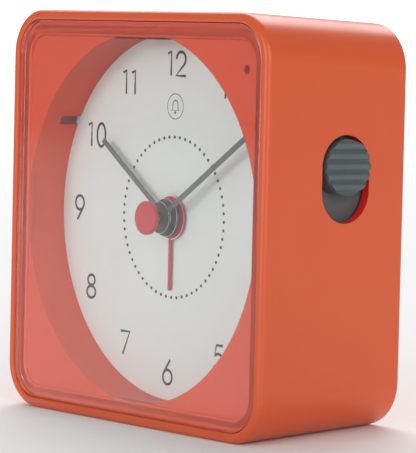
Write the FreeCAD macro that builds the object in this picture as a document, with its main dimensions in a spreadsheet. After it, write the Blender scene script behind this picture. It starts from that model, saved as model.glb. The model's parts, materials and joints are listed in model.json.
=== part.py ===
"""Travel alarm clock: a drafted square case, a deep round dial and a quartz alarm movement.

Every piece is drawn in the clock's own frame: X to the right, Y up, Z out of the front, with the
origin where the hands' axis meets the front plane. A "depth" is a distance behind that plane.
One standing placement then turns and lifts each piece so that the drafted underside is level.
"""
import FreeCAD, Part
import math
import os
import re

import Sketcher

SIZES = {
    # case
    "front_size": 80.0, "case_depth": 36.1, "draft_angle": 2.31, "corner_radius": 8.9,
    "case_wall": 2.0, "back_wall": 2.0, "front_round": 1.2, "back_round": 1.0, "rim_round": 0.35,
    # lens and dial surround
    "lens_recess": 0.3, "lens_thickness": 1.5, "lens_gap": 0.3, "lens_bevel": 0.25,
    "surround_thickness": 2.4, "groove_width": 0.75, "groove_depth": 0.3, "band_width": 1.75,
    "band_corner": 4.4, "window_drop": 0.35, "field_depth": 0.65, "aperture_radius": 35.85,
    "aperture_wall": 1.15, "cheek_depth": 1.5, "cheek_length": 18.0,
    "sensor_inset": 7.9, "sensor_drop": 10.6, "sensor_hole_radius": 0.85, "sensor_radius": 1.3,
    "sensor_length": 4.4, "sensor_skin": 0.8,
    "slot_up": 18.0, "slot_height": 2.1, "slot_depth": 6.6, "light_width": 3.4, "light_gap": 0.2,
    # posts, screws and clips
    "post_inset": 7.0, "post_drop": 15.0, "post_radius": 3.0, "post_end_radius": 2.4,
    "pilot_radius": 0.9, "pilot_depth": 10.0, "screw_head_radius": 2.2, "screw_head_height": 1.4,
    "screw_length": 8.0, "cross_length": 1.8, "sink_radius": 2.5, "sink_depth": 2.3, "boss_radius": 2.9, "boss_floor": 2.3,
    "slot_width": 0.6, "cross_depth": 0.7, "clip_radius": 3.9, "clip_thickness": 0.4, "fit": 0.1,
    # dial and carrier
    "dial_depth": 11.3, "dial_thickness": 0.4, "dial_margin": 0.2, "dial_hole_radius": 3.6,
    "carrier_thickness": 1.2, "carrier_gap": 0.5,
    # hands
    "hand_thickness": 0.35, "seconds_depth": 4.3, "seconds_radius": 3.28, "seconds_thickness": 1.0,
    "seconds_sleeve_radius": 0.95, "seconds_sleeve_length": 1.2, "seconds_round": 0.3,
    "minute_depth": 7.9, "minute_hub_radius": 3.09, "minute_gap": 4.85, "minute_width": 1.1,
    "minute_bush_radius": 1.9, "minute_angle": 57.0,
    "hour_depth": 9.3, "hour_hub_radius": 3.72, "hour_length": 25.0, "hour_width": 1.1,
    "hour_bush_radius": 2.5, "hour_angle": 304.75, "bush_length": 0.65,
    "alarm_depth": 10.6, "alarm_hub_radius": 4.35, "alarm_length": 14.3, "alarm_width": 0.8,
    "alarm_bush_radius": 3.2, "alarm_bush_length": 0.9, "alarm_angle": 180.0,
    # nested arbors of the hands
    "seconds_arbor_radius": 0.5, "minute_tube_radius": 1.2, "hour_tube_radius": 1.85,
    "alarm_tube_radius": 2.5, "running_gap": 0.08, "tube_reach": 1.0,
    # movement case
    "movement_width": 56.0, "movement_top": 24.0, "movement_wall": 1.0,
    "movement_corner": 2.0, "front_plate": 1.2, "rear_plate": 1.2, "rear_plate_depth": 26.4,
    "chamber_floor": 17.0, "pivot_radius": 0.4, "pivot_depth": 0.8, "pivot_play": 0.1,
    "ear_across": 30.5, "ear_high": 18.8, "ear_low": 12.0, "ear_radius": 2.4, "ear_thickness": 2.0,
    "small_screw_radius": 1.0, "small_head_radius": 1.8, "small_head_height": 1.1,
    # wheel depths (front faces) and thicknesses
    "wheel_thickness": 0.7, "pinion_length": 1.2, "alarm_wheel_depth": 14.5, "hour_wheel_depth": 15.7,
    "motion_depth": 16.9, "centre_wheel_depth": 18.5, "seconds_wheel_depth": 20.4,
    "third_wheel_depth": 21.9, "intermediate_depth": 23.3, "washer_radius": 2.4,
    # wheel modules and centre distances
    "motor_module": 0.3, "hour_module": 0.3, "train_distance": 8.5, "motion_distance": 7.5,
    "third_bearing": 150.0, "intermediate_bearing": 60.0, "minute_wheel_drop": 2.1,
    "backlash": 0.05,
    # setting stems and knobs
    "stem_radius": 0.8, "stem_drop": 6.0, "knob_radius": 6.0, "knob_height": 3.6, "knob_recess": 0.25,
    "well_radius": 7.5, "well_depth": 4.2, "well_floor": 1.6, "well_wall": 1.2, "flute_radius": 0.55,
    "knob_chamfer": 0.5,
    # motor
    "rotor_radius": 2.3, "rotor_length": 2.4, "air_gap": 0.3, "stator_left": 11.0, "stator_right": 14.0,
    "stator_low": 10.6, "stator_high": 16.6, "stator_depth": 20.6, "stator_thickness": 1.0,
    "core_up": 19.5, "core_width": 2.4, "tab_width": 4.0, "coil_width": 5.6, "coil_left": 6.0,
    "coil_right": 9.0, "bobbin_flange": 0.6, "peg_radius": 1.1,
    # battery
    "cell_radius": 7.1, "cell_length": 50.2, "nub_radius": 2.6, "nub_length": 1.3, "cell_gap": 0.4,
    "cell_front_gap": 0.15, "bay_bottom": 33.4, "bay_floor": 14.6, "contact_thickness": 0.3,
    "contact_width": 8.0, "sleeve_wall": 1.2, "sleeve_gap": 0.4,
    "door_thickness": 1.2, "door_ledge": 1.0, "door_gap": 0.2, "door_rib": 1.5, "door_corner": 1.5,
    "thumb_pitch": 1.8,
    # alarm slider
    "slider_up": 9.3, "slider_depth": 20.4, "slider_slot_width": 12.1, "slider_travel": 4.5,
    "slider_knob_radius": 5.45, "slider_proud": 1.0, "slider_floor": 3.1, "flange_thickness": 1.0,
    "flange_width": 13.6, "flange_overlap": 0.5, "rib_pitch": 2.0, "rib_groove": 0.6,
    "rib_depth": 0.45, "collar_wall": 1.2,
    "switch_length": 8.0, "switch_depth": 3.2, "switch_clear": 1.5, "lever_size": 2.0,
    "board_thickness": 1.0, "prong": 1.0,
    # electronics
    "board_left": 15.2, "board_width": 11.2, "board_up": 10.0, "board_height": 22.0, "board_depth": 17.0,
    "chip_size": 5.0, "chip_height": 1.0, "crystal_radius": 1.0, "crystal_length": 6.0,
    "spring_strip": 3.0, "spring_thickness": 0.15,
    "buzzer_up": 20.0, "buzzer_radius": 10.2, "buzzer_height": 2.1, "buzzer_wall": 1.6,
    "disc_thickness": 0.3, "sound_hole_radius": 0.9, "sound_ring_radius": 4.2,
}
CORNERS = [(-1, -1), (1, -1), (1, 1), (-1, 1)]
FLUTES = 20
SOUND_HOLES = 6
PRESSURE = math.radians(25)
WHEEL_ADDENDUM = 0.7
PINION_ADDENDUM = 0.8
DEDENDUM = 1.15
PINION_TEETH = 12
TEETH = {
    "rotor": 8, "intermediate": 40, "intermediate_pinion": 8, "seconds": 48, "seconds_pinion": 8,
    "third": 60, "third_pinion": 8, "centre": 64, "minute_pinion": 12, "minute_wheel": 36,
    "minute_wheel_pinion": 10, "hour": 40, "alarm": 40, "alarm_set": 20, "time_set": 16,
}

doc = FreeCAD.newDocument("travel_alarm_clock")
sheet = doc.addObject("Spreadsheet::Sheet", "sizes")
for row, (alias, number) in enumerate(SIZES.items(), start=1):
    sheet.set(f"A{row}", alias)
    sheet.set(f"B{row}", str(number))
    sheet.setAlias(f"B{row}", alias)
doc.recompute()
nodes = []
Vector = FreeCAD.Vector
Constraint = Sketcher.Constraint


# ---------------------------------------------------------------- sizes and places
def formula(text):
    """Point each size named in a formula at its cell of the sheet."""
    return re.sub(r"[a-z_]+", lambda word: "sizes." + word[0] if word[0] in SIZES else word[0], text)


def size(text):
    """Value of a formula of named sizes."""
    return float(sheet.evalExpression(formula(text)))


def bind(thing, path, text):
    """Tie one property of an object to a formula of the sheet's sizes."""
    thing.setExpression(path, formula(text))


def stand(piece, label):
    """Name a finished piece and set it standing on the clock's level underside."""
    piece.Label = label
    piece.Placement = FreeCAD.Placement(Vector(0, 0, 0), FreeCAD.Rotation(Vector(1, 0, 0), 90))
    bind(piece, "Placement.Rotation.Angle", "90 - draft_angle")
    middle = "(front_size / 2 - case_depth / 2 * tan(draft_angle))"
    bind(piece, "Placement.Base.y", f"{middle} * sin(draft_angle) - case_depth / 2 * cos(draft_angle)")
    bind(piece, "Placement.Base.z", "front_size / 2 * cos(draft_angle)")
    nodes.append(piece)
    return piece


# ---------------------------------------------------------------- sketch outlines
def dimension(sketch, constraint, text):
    """Add a driving dimension whose value comes from a formula."""
    bind(sketch, f"Constraints[{sketch.addConstraint(constraint)}]", text)


def disc(radius):
    """Circle about the sketch's origin."""
    def draw(sketch):
        number = sketch.addGeometry(Part.Circle(Vector(), Vector(0, 0, 1), size(radius)), False)
        sketch.addConstraint(Constraint("Coincident", number, 3, -1, 1))
        dimension(sketch, Constraint("Radius", number, size(radius)), radius)
    return draw


def box(width, height):
    """Plain rectangle centred on the sketch's origin."""
    def draw(sketch):
        half, tall = size(width) / 2, size(height) / 2
        corners = [Vector(side * half, rise * tall, 0) for side, rise in CORNERS]
        sides = [sketch.addGeometry(Part.LineSegment(corners[i], corners[(i + 1) % 4]), False)
                 for i in range(4)]
        for i in range(4):
            sketch.addConstraint(Constraint("Coincident", sides[i], 2, sides[(i + 1) % 4], 1))
            sketch.addConstraint(Constraint("Vertical" if i % 2 else "Horizontal", sides[i]))
        sketch.addConstraint(Constraint("Symmetric", sides[0], 1, sides[2], 1, -1, 1))
        dimension(sketch, Constraint("DistanceX", sides[0], 1, sides[0], 2, 2 * half), width)
        dimension(sketch, Constraint("DistanceY", sides[1], 1, sides[1], 2, 2 * tall), height)
    return draw


def rounded(width, height, corner):
    """Rectangle with round corners, centred on the sketch's origin."""
    def draw(sketch):
        half, tall, radius = size(width) / 2, size(height) / 2, size(corner)
        across, up = half - radius, tall - radius
        ends = [((-across, -tall), (across, -tall)), ((half, -up), (half, up)),
                ((across, tall), (-across, tall)), ((-half, up), (-half, -up))]
        sides = [sketch.addGeometry(Part.LineSegment(Vector(*a, 0), Vector(*b, 0)), False)
                 for a, b in ends]
        arcs = []
        for turn, (side, rise) in enumerate([(1, -1), (1, 1), (-1, 1), (-1, -1)]):
            circle = Part.Circle(Vector(side * across, rise * up, 0), Vector(0, 0, 1), radius)
            start = math.radians(90 * turn - 90)
            arcs.append(sketch.addGeometry(Part.ArcOfCircle(circle, start, start + math.pi / 2), False))
        for i in range(4):
            sketch.addConstraint(Constraint("Tangent", sides[i], 2, arcs[i], 1))
            sketch.addConstraint(Constraint("Tangent", arcs[i], 2, sides[(i + 1) % 4], 1))
            sketch.addConstraint(Constraint("Vertical" if i % 2 else "Horizontal", sides[i]))
        for arc in arcs[1:]:
            sketch.addConstraint(Constraint("Equal", arcs[0], arc))
        sketch.addConstraint(Constraint("Symmetric", arcs[0], 3, arcs[2], 3, -1, 1))
        dimension(sketch, Constraint("Radius", arcs[0], radius), corner)
        dimension(sketch, Constraint("DistanceX", arcs[2], 3, arcs[0], 3, 2 * across),
                  f"{width} - 2 * ({corner})")
        dimension(sketch, Constraint("DistanceY", arcs[0], 3, arcs[2], 3, 2 * up),
                  f"{height} - 2 * ({corner})")
    return draw


def stadium(length, width):
    """Slot with round ends along the sketch's first axis; length is between the end centres."""
    def draw(sketch):
        half, radius = size(length) / 2, size(width) / 2
        low = sketch.addGeometry(Part.LineSegment(Vector(-half, -radius, 0), Vector(half, -radius, 0)),
                                 False)
        high = sketch.addGeometry(Part.LineSegment(Vector(half, radius, 0), Vector(-half, radius, 0)),
                                  False)
        ends = []
        for side, start in ((1, -90), (-1, 90)):
            circle = Part.Circle(Vector(side * half, 0, 0), Vector(0, 0, 1), radius)
            angle = math.radians(start)
            ends.append(sketch.addGeometry(Part.ArcOfCircle(circle, angle, angle + math.pi), False))
        for first, second in ((low, ends[0]), (ends[0], high), (high, ends[1]), (ends[1], low)):
            sketch.addConstraint(Constraint("Tangent", first, 2, second, 1))
        sketch.addConstraint(Constraint("Horizontal", low))
        sketch.addConstraint(Constraint("Symmetric", ends[0], 3, ends[1], 3, -1, 1))
        dimension(sketch, Constraint("Radius", ends[0], radius), f"({width}) / 2")
        dimension(sketch, Constraint("DistanceX", ends[1], 3, ends[0], 3, 2 * half), length)
    return draw


# ---------------------------------------------------------------- solid features of a body
def new_body(label):
    """Empty body that stands in its place under its own name."""
    return stand(doc.addObject("PartDesign::Body", label), label)


def dial_sketch(body, outline, depth, x, y, turn):
    """Sketch parallel to the dial, centred at x, y at a depth behind the front plane."""
    sketch = body.newObject("Sketcher::SketchObject", body.Name + "_sketch")
    plane = next(item for item in body.Origin.OriginFeatures if item.Role == "XY_Plane")
    sketch.AttachmentSupport = [(plane, "")]
    sketch.MapMode = "FlatFace"
    sketch.AttachmentOffset = FreeCAD.Placement(Vector(), FreeCAD.Rotation(Vector(0, 0, 1), 1))
    bind(sketch, "AttachmentOffset.Rotation.Angle", turn)
    for axis, text in zip("xyz", (x, y, f"-({depth})")):
        bind(sketch, f"AttachmentOffset.Base.{axis}", text)
    outline(sketch)
    return sketch


def side_sketch(body, outline, inset, up, depth="slider_depth"):
    """Sketch parallel to the drafted right side, sunk by inset below its surface."""
    sketch = body.newObject("Sketcher::SketchObject", body.Name + "_side_sketch")
    plane = next(item for item in body.Origin.OriginFeatures if item.Role == "YZ_Plane")
    sketch.AttachmentSupport = [(plane, "")]
    sketch.MapMode = "FlatFace"
    sketch.AttachmentOffset = FreeCAD.Placement(Vector(), FreeCAD.Rotation(Vector(1, 0, 0), 1))
    bind(sketch, "AttachmentOffset.Rotation.Angle", "draft_angle")
    bind(sketch, "AttachmentOffset.Base.x", up)
    bind(sketch, "AttachmentOffset.Base.y", f"-({depth}) + ({inset}) * sin(draft_angle)")
    bind(sketch, "AttachmentOffset.Base.z",
         f"front_size / 2 - ({depth}) * tan(draft_angle) - ({inset}) * cos(draft_angle)")
    outline(sketch)
    return sketch


def extrude(body, kind, sketch, length):
    """Pad a sketch along its normal, or pocket it the other way, by a formula's length."""
    feature = body.newObject("PartDesign::" + kind, body.Name + "_" + kind.lower())
    feature.Profile = sketch
    bind(feature, "Length", length)
    sketch.Visibility = False
    return feature


def pad(body, outline, near, far, x="0", y="0", turn="0"):
    """Add material between two depths behind the front plane."""
    return extrude(body, "Pad", dial_sketch(body, outline, far, x, y, turn), f"({far}) - ({near})")


def pocket(body, outline, near, far, x="0", y="0", turn="0"):
    """Remove material between two depths behind the front plane."""
    return extrude(body, "Pocket", dial_sketch(body, outline, near, x, y, turn), f"({far}) - ({near})")


def side_pad(body, outline, near, far, up):
    """Add material between two insets below the right side."""
    return extrude(body, "Pad", side_sketch(body, outline, far, up), f"({far}) - ({near})")


def side_pocket(body, outline, near, far, up):
    """Remove material between two insets below the right side."""
    return extrude(body, "Pocket", side_sketch(body, outline, near, up), f"({far}) - ({near})")


def edge_names(feature, wanted):
    """Names of a feature's edges whose bounding box passes a test."""
    return [f"Edge{i + 1}" for i, edge in enumerate(feature.Shape.Edges) if wanted(edge.BoundBox)]


def dress(body, kind, amount, wanted):
    """Fillet or chamfer the chosen edges of the body's latest feature."""
    doc.recompute()
    base = body.Tip
    feature = body.newObject("PartDesign::" + kind, body.Name + "_" + kind.lower())
    feature.Base = (base, edge_names(base, wanted))
    bind(feature, "Radius" if kind == "Fillet" else "Size", amount)
    return feature


def flat_at(depth, reach=0.0):
    """Test for edges that lie at one depth and reach at least so far from the axis."""
    level = -size(depth)
    limit = size(str(reach))
    near = 1e-4
    return lambda b: (abs(b.ZMin - level) < near and abs(b.ZMax - level) < near
                      and max(abs(b.XMin), abs(b.XMax), abs(b.YMin), abs(b.YMax)) > limit - near)


# ---------------------------------------------------------------- primitives and booleans
def rod(radius, near, far, x="0", y="0"):
    """Cylinder along the clock's axis between two depths."""
    part = doc.addObject("Part::Cylinder", "rod")
    bind(part, "Radius", radius)
    bind(part, "Height", f"({far}) - ({near})")
    for axis, text in zip("xyz", (x, y, f"-({far})")):
        bind(part, f"Placement.Base.{axis}", text)
    return part


def block(width, height, near, far, x="0", y="0"):
    """Box centred at x, y between two depths."""
    part = doc.addObject("Part::Box", "block")
    bind(part, "Length", width)
    bind(part, "Width", height)
    bind(part, "Height", f"({far}) - ({near})")
    corner = (f"({x}) - ({width}) / 2", f"({y}) - ({height}) / 2", f"-({far})")
    for axis, text in zip("xyz", corner):
        bind(part, f"Placement.Base.{axis}", text)
    return part


def crosswise(radius, start, end, up, depth):
    """Cylinder along X between two places."""
    part = doc.addObject("Part::Cylinder", "crosswise")
    part.Placement = FreeCAD.Placement(Vector(), FreeCAD.Rotation(Vector(0, 1, 0), 90))
    bind(part, "Radius", radius)
    bind(part, "Height", f"({end}) - ({start})")
    for axis, text in zip("xyz", (start, up, f"-({depth})")):
        bind(part, f"Placement.Base.{axis}", text)
    return part


def fuse(*parts):
    """One solid from several."""
    whole = doc.addObject("Part::MultiFuse", "fuse")
    whole.Shapes = list(parts)
    return whole


def cut(base, *tools):
    """A solid less several others."""
    for tool in tools:
        rest = doc.addObject("Part::Cut", "cut")
        rest.Base = base
        rest.Tool = tool
        base = rest
    return base


def group(*parts):
    """Separate solids that share one name."""
    whole = doc.addObject("Part::Compound", "group")
    whole.Links = list(parts)
    return whole


# ---------------------------------------------------------------- gears
def involute(angle):
    """Involute function of a pressure angle."""
    return math.tan(angle) - angle


def gear(name, module, near, far, x="0", y="0", phase=0.0):
    """Toothed disc between two depths, thinned by the backlash, with a tooth at the phase angle."""
    teeth = TEETH[name]
    scale = size(module)
    pitch = teeth * scale / 2
    addendum = PINION_ADDENDUM if teeth <= PINION_TEETH else WHEEL_ADDENDUM
    tip, root, base = pitch + addendum * scale, pitch - DEDENDUM * scale, pitch * math.cos(PRESSURE)
    half = (math.pi * scale / 2 - size("backlash")) / 2 / pitch + involute(PRESSURE)
    start = max(root, base)
    flank = [(radius, half - involute(math.acos(min(1.0, base / radius))))
             for radius in (start, (start + tip) / 2, tip)]
    if root < base:
        flank.insert(0, (root, flank[0][1]))
    points = []
    for tooth in range(teeth):
        middle = phase + 2 * math.pi * tooth / teeth
        for side, run in ((-1, flank), (1, flank[::-1])):
            points += [Vector(r * math.cos(middle + side * a), r * math.sin(middle + side * a), 0)
                       for r, a in run]
    outline = Part.makePolygon(points + points[:1])
    solid = Part.Face(outline).extrude(Vector(0, 0, size(f"({far}) - ({near})")))
    part = doc.addObject("Part::Feature", name + "_teeth")
    part.Shape = solid
    part.Placement = FreeCAD.Placement(Vector(size(x), size(y), -size(far)), FreeCAD.Rotation())
    return part


def meshed(driver, driver_phase, driver_place, wheel, wheel_place):
    """Phase of a wheel that sets its teeth in the gaps of its driver's teeth."""
    across = size(wheel_place[0]) - size(driver_place[0])
    up = size(wheel_place[1]) - size(driver_place[1])
    bearing = math.atan2(up, across)
    pitch_angle = 2 * math.pi / TEETH[driver]
    share = ((bearing - driver_phase) / pitch_angle) % 1.0
    return bearing + math.pi - (0.5 - share) * 2 * math.pi / TEETH[wheel]


# ---------------------------------------------------------------- places that several pieces share
LENS_BACK = "lens_recess + lens_thickness"
FIELD = f"{LENS_BACK} + field_depth"
SURROUND_BACK = f"{LENS_BACK} + surround_thickness"
LENS_SIZE = "front_size - 2 * case_wall - 2 * lens_gap"
LENS_CORNER = "corner_radius - case_wall - lens_gap"
BAND_OUTER = f"({LENS_SIZE} - 2 * groove_width)"
BAND_INNER = f"({BAND_OUTER} - 2 * band_width)"
SENSOR = ("front_size / 2 - sensor_inset", "front_size / 2 - sensor_drop")
DIAL_BACK = "dial_depth + dial_thickness"
CARRIER_BACK = f"{DIAL_BACK} + carrier_thickness"
PLATE_BACK = f"{CARRIER_BACK} + front_plate"
HOUSING_BACK = "rear_plate_depth + rear_plate"
BACK_INSIDE = "case_depth - back_wall"
BOSS_FRONT = "case_depth - sink_depth - boss_floor"
WELL_FLOOR = "case_depth - well_depth"
STEM_FRONT = f"{PLATE_BACK} - pivot_depth + pivot_play"
STEM_BACK = "rear_plate_depth + pivot_depth - pivot_play"
BAY_DEPTH = "bay_floor + cell_front_gap + cell_radius"
BAY_WIDTH = "movement_width - 2 * movement_wall"
BAY_HEIGHT = "(2 * (cell_radius + cell_gap))"
BAY_UP = f"(bay_bottom - {BAY_HEIGHT} / 2)"
BAY_PLACE = ("0", f"-{BAY_UP}")
MOVEMENT_BOTTOM = "(bay_bottom + movement_wall)"

AXIS = ("0", "0")
THIRD = ("train_distance * cos(third_bearing)", "train_distance * sin(third_bearing)")
INTERMEDIATE_REACH = f"motor_module * {TEETH['intermediate_pinion'] + TEETH['seconds']} / 2"
INTERMEDIATE = (f"({INTERMEDIATE_REACH}) * cos(intermediate_bearing)",
                f"({INTERMEDIATE_REACH}) * sin(intermediate_bearing)")
ROTOR_REACH = f"(motor_module * {TEETH['rotor'] + TEETH['intermediate']} / 2)"
ROTOR = (f"{INTERMEDIATE[0]} + {ROTOR_REACH} * cos(intermediate_bearing)",
         f"{INTERMEDIATE[1]} + {ROTOR_REACH} * sin(intermediate_bearing)")
MINUTE_WHEEL = ("sqrt(motion_distance ^ 2 - minute_wheel_drop ^ 2)", "-minute_wheel_drop")
MOTION_MODULE = f"motion_distance * 2 / {TEETH['minute_pinion'] + TEETH['minute_wheel']}"
HOUR_MODULE = f"motion_distance * 2 / {TEETH['minute_wheel_pinion'] + TEETH['hour']}"
SECONDS_MODULE = f"train_distance * 2 / {TEETH['seconds_pinion'] + TEETH['third']}"
CENTRE_MODULE = f"train_distance * 2 / {TEETH['third_pinion'] + TEETH['centre']}"
TIME_REACH = f"(({MOTION_MODULE}) * {TEETH['time_set'] + TEETH['minute_wheel']} / 2)"
TIME_STEM = (f"{MINUTE_WHEEL[0]} + sqrt({TIME_REACH} ^ 2 - (stem_drop - minute_wheel_drop) ^ 2)",
             "-stem_drop")
ALARM_REACH = f"(hour_module * {TEETH['alarm_set'] + TEETH['alarm']} / 2)"
ALARM_STEM = (f"-sqrt({ALARM_REACH} ^ 2 - stem_drop ^ 2)", "-stem_drop")
STEMS = (TIME_STEM, ALARM_STEM)
PIVOTS = (THIRD, INTERMEDIATE, ROTOR)
POSTS = [(f"{side} * (front_size / 2 - post_inset)", f"{rise} * (front_size / 2 - post_drop)")
         for side, rise in CORNERS]
EARS = [(f"{side} * ear_across", up) for side in (-1, 1) for up in ("ear_high", "-ear_low")]
EAR_STRIP = "2 * (ear_across - movement_width / 2)"
PEGS = [("-stator_left + tab_width / 2", "(stator_low + stator_high) / 2"),
        ("stator_right - tab_width / 2", "core_up")]
BOARD_PLACE = ("board_left + board_width / 2", "board_up")


# ---------------------------------------------------------------- case
def make_case_shell():
    """Drafted bucket with the battery bay, knob wells, screw bosses and slider slot."""
    shell = new_body("case_shell")
    outer = extrude(shell, "Pad", dial_sketch(shell, rounded("front_size", "front_size",
                    "corner_radius"), "0", "0", "0", "0"), "case_depth")
    outer.Reversed = True
    bind(outer, "TaperAngle", "-draft_angle")
    dress(shell, "Fillet", "back_round", flat_at("case_depth"))
    dress(shell, "Fillet", "front_round", flat_at("0"))
    inside = rounded("front_size - 2 * case_wall", "front_size - 2 * case_wall",
                     "corner_radius - case_wall")
    hollow = pocket(shell, inside, "0", BACK_INSIDE)
    bind(hollow, "TaperAngle", "-draft_angle")
    dress(shell, "Fillet", "rim_round", flat_at("0"))
    bay_front = f"{HOUSING_BACK} + sleeve_gap"
    ledge = "2 * door_ledge"
    pad(shell, rounded(f"{BAY_WIDTH} + {ledge} + 2 * sleeve_wall", f"{BAY_HEIGHT} + {ledge} + 2 * sleeve_wall",
                       "door_corner + sleeve_wall"),
        "case_depth - door_thickness - door_ledge - sleeve_wall", BACK_INSIDE + " + fit", *BAY_PLACE)
    pad(shell, rounded(f"{BAY_WIDTH} + 2 * sleeve_wall", f"{BAY_HEIGHT} + 2 * sleeve_wall",
                       "door_corner"), bay_front, BACK_INSIDE + " + fit", *BAY_PLACE)
    pocket(shell, box(BAY_WIDTH, BAY_HEIGHT), bay_front, "case_depth", *BAY_PLACE)
    pocket(shell, rounded(f"{BAY_WIDTH} + {ledge}", f"{BAY_HEIGHT} + {ledge}", "door_corner"),
           "case_depth - door_thickness", "case_depth", *BAY_PLACE)
    for x, y in STEMS:
        pad(shell, disc("well_radius + well_wall"), f"{WELL_FLOOR} - well_floor",
            BACK_INSIDE + " + fit", x, y)
    for x, y in STEMS:
        pocket(shell, disc("well_radius"), WELL_FLOOR, "case_depth", x, y)
        pocket(shell, disc("stem_radius + pivot_play"), f"{WELL_FLOOR} - well_floor", "case_depth", x, y)
    for x, y in POSTS:
        pad(shell, disc("boss_radius"), BOSS_FRONT, BACK_INSIDE + " + fit", x, y)
        pocket(shell, disc("sink_radius"), "case_depth - sink_depth", "case_depth", x, y)
        pocket(shell, disc("small_screw_radius + fit"), BOSS_FRONT, "case_depth", x, y)
    pocket(shell, disc("sound_hole_radius"), BACK_INSIDE, "case_depth", "0", "buzzer_up")
    for hole in range(SOUND_HOLES):
        turn = f"{360 * hole / SOUND_HOLES}"
        pocket(shell, disc("sound_hole_radius"), BACK_INSIDE, "case_depth",
               f"sound_ring_radius * cos({turn})", f"buzzer_up + sound_ring_radius * sin({turn})")
    side_pad(shell, stadium("slider_travel", "slider_slot_width + 2 * collar_wall"),
             "case_wall / 2", "slider_floor - fit", "slider_up")
    side_pocket(shell, stadium("slider_travel", "slider_slot_width"), "0", "slider_floor", "slider_up")


def make_front_lens():
    """Flat clear plate with a bevelled edge, let into the front of the case."""
    lens = new_body("front_lens")
    pad(lens, rounded(LENS_SIZE, LENS_SIZE, LENS_CORNER), "lens_recess", LENS_BACK)
    dress(lens, "Chamfer", "lens_bevel", flat_at("lens_recess"))


def make_dial_surround():
    """Mask with a raised seat for the lens, a deep round aperture and four long posts."""
    mask = new_body("dial_surround")
    pad(mask, rounded(LENS_SIZE, LENS_SIZE, LENS_CORNER), f"{LENS_BACK} + groove_depth", SURROUND_BACK)
    pad(mask, rounded(BAND_OUTER, BAND_OUTER, f"{LENS_CORNER} - groove_width"), LENS_BACK, SURROUND_BACK)
    pocket(mask, rounded(BAND_INNER, BAND_INNER, "band_corner"), LENS_BACK, FIELD, "0", "-window_drop")
    pad(mask, disc("aperture_radius + aperture_wall"), f"{SURROUND_BACK} - fit", "dial_depth")
    for x, y in POSTS:
        pad(mask, disc("post_radius"), f"{SURROUND_BACK} - fit", DIAL_BACK, x, y)
        pad(mask, disc("post_end_radius"), f"{DIAL_BACK} - fit", BOSS_FRONT, x, y)
        pocket(mask, disc("pilot_radius"), f"{BOSS_FRONT} - pilot_depth", BOSS_FRONT, x, y)
    pocket(mask, disc("aperture_radius"), LENS_BACK, "dial_depth")
    reach = f"({BAND_INNER} + band_width) / 2"
    cheek_back = f"{LENS_BACK} + cheek_depth"
    for side in (-1, 1):
        pad(mask, box("band_width", "cheek_length"), LENS_BACK, cheek_back, f"{side} * {reach}")
        pad(mask, box("cheek_length", "band_width"), LENS_BACK, cheek_back, "0",
            f"{side} * {reach} - window_drop")
    pocket(mask, disc("sensor_hole_radius"), LENS_BACK, SURROUND_BACK, *SENSOR)
    pocket(mask, disc("sensor_radius + pivot_play"), f"{FIELD} + sensor_skin", SURROUND_BACK,
           *SENSOR)
    pocket(mask, box("light_width", "slot_height"), "slot_depth", "dial_depth",
           "-sqrt((aperture_radius + aperture_wall) ^ 2 - slot_up ^ 2)", "slot_up")


def make_dial_and_carrier():
    """Printed dial and the plate that clamps it against the surround."""
    dial = new_body("dial_plate")
    pad(dial, disc("aperture_radius + aperture_wall - dial_margin"), "dial_depth", DIAL_BACK)
    pocket(dial, disc("dial_hole_radius"), "dial_depth", DIAL_BACK)
    carrier = new_body("dial_carrier")
    inside = f"front_size - 2 * case_wall - 2 * ({CARRIER_BACK}) * tan(draft_angle) - 2 * carrier_gap"
    pad(carrier, rounded(inside, inside, "corner_radius - case_wall"), DIAL_BACK, CARRIER_BACK)
    pocket(carrier, disc("dial_hole_radius"), DIAL_BACK, CARRIER_BACK)
    for x, y in POSTS:
        pocket(carrier, disc("post_end_radius + fit"), DIAL_BACK, CARRIER_BACK, x, y)
    for x, y in EARS:
        pocket(carrier, disc("small_screw_radius"), DIAL_BACK, CARRIER_BACK, x, y)


def make_fasteners():
    """Case screws, movement screws and the push-on clips of the dial carrier."""
    head_front = "case_depth - sink_depth"
    screws = []
    for x, y in POSTS:
        head_back = f"{head_front} + screw_head_height"
        head = rod("screw_head_radius", head_front, head_back, x, y)
        shank = rod("pilot_radius", f"{head_front} - screw_length", head_front, x, y)
        drive = [block("cross_length", "slot_width", f"{head_back} - cross_depth",
                       head_back, x, y),
                 block("slot_width", "cross_length", f"{head_back} - cross_depth",
                       head_back, x, y)]
        screws.append(cut(fuse(head, shank), *drive))
    stand(group(*screws), "case_screws")
    ear_back = f"{PLATE_BACK} + ear_thickness"
    screws = []
    for x, y in EARS:
        head_back = f"{ear_back} + small_head_height"
        head = rod("small_head_radius", ear_back, head_back, x, y)
        shank = rod("small_screw_radius", DIAL_BACK, ear_back, x, y)
        drive = block("2 * small_head_radius", "slot_width", f"{head_back} - slot_width", head_back, x, y)
        screws.append(cut(fuse(head, shank), drive))
    stand(group(*screws), "movement_screws")
    clips = [cut(rod("clip_radius", CARRIER_BACK, f"{CARRIER_BACK} + clip_thickness", x, y),
                 rod("post_end_radius", DIAL_BACK, f"{CARRIER_BACK} + 2 * clip_thickness", x, y))
             for x, y in POSTS]
    stand(group(*clips), "retaining_clips")


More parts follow.
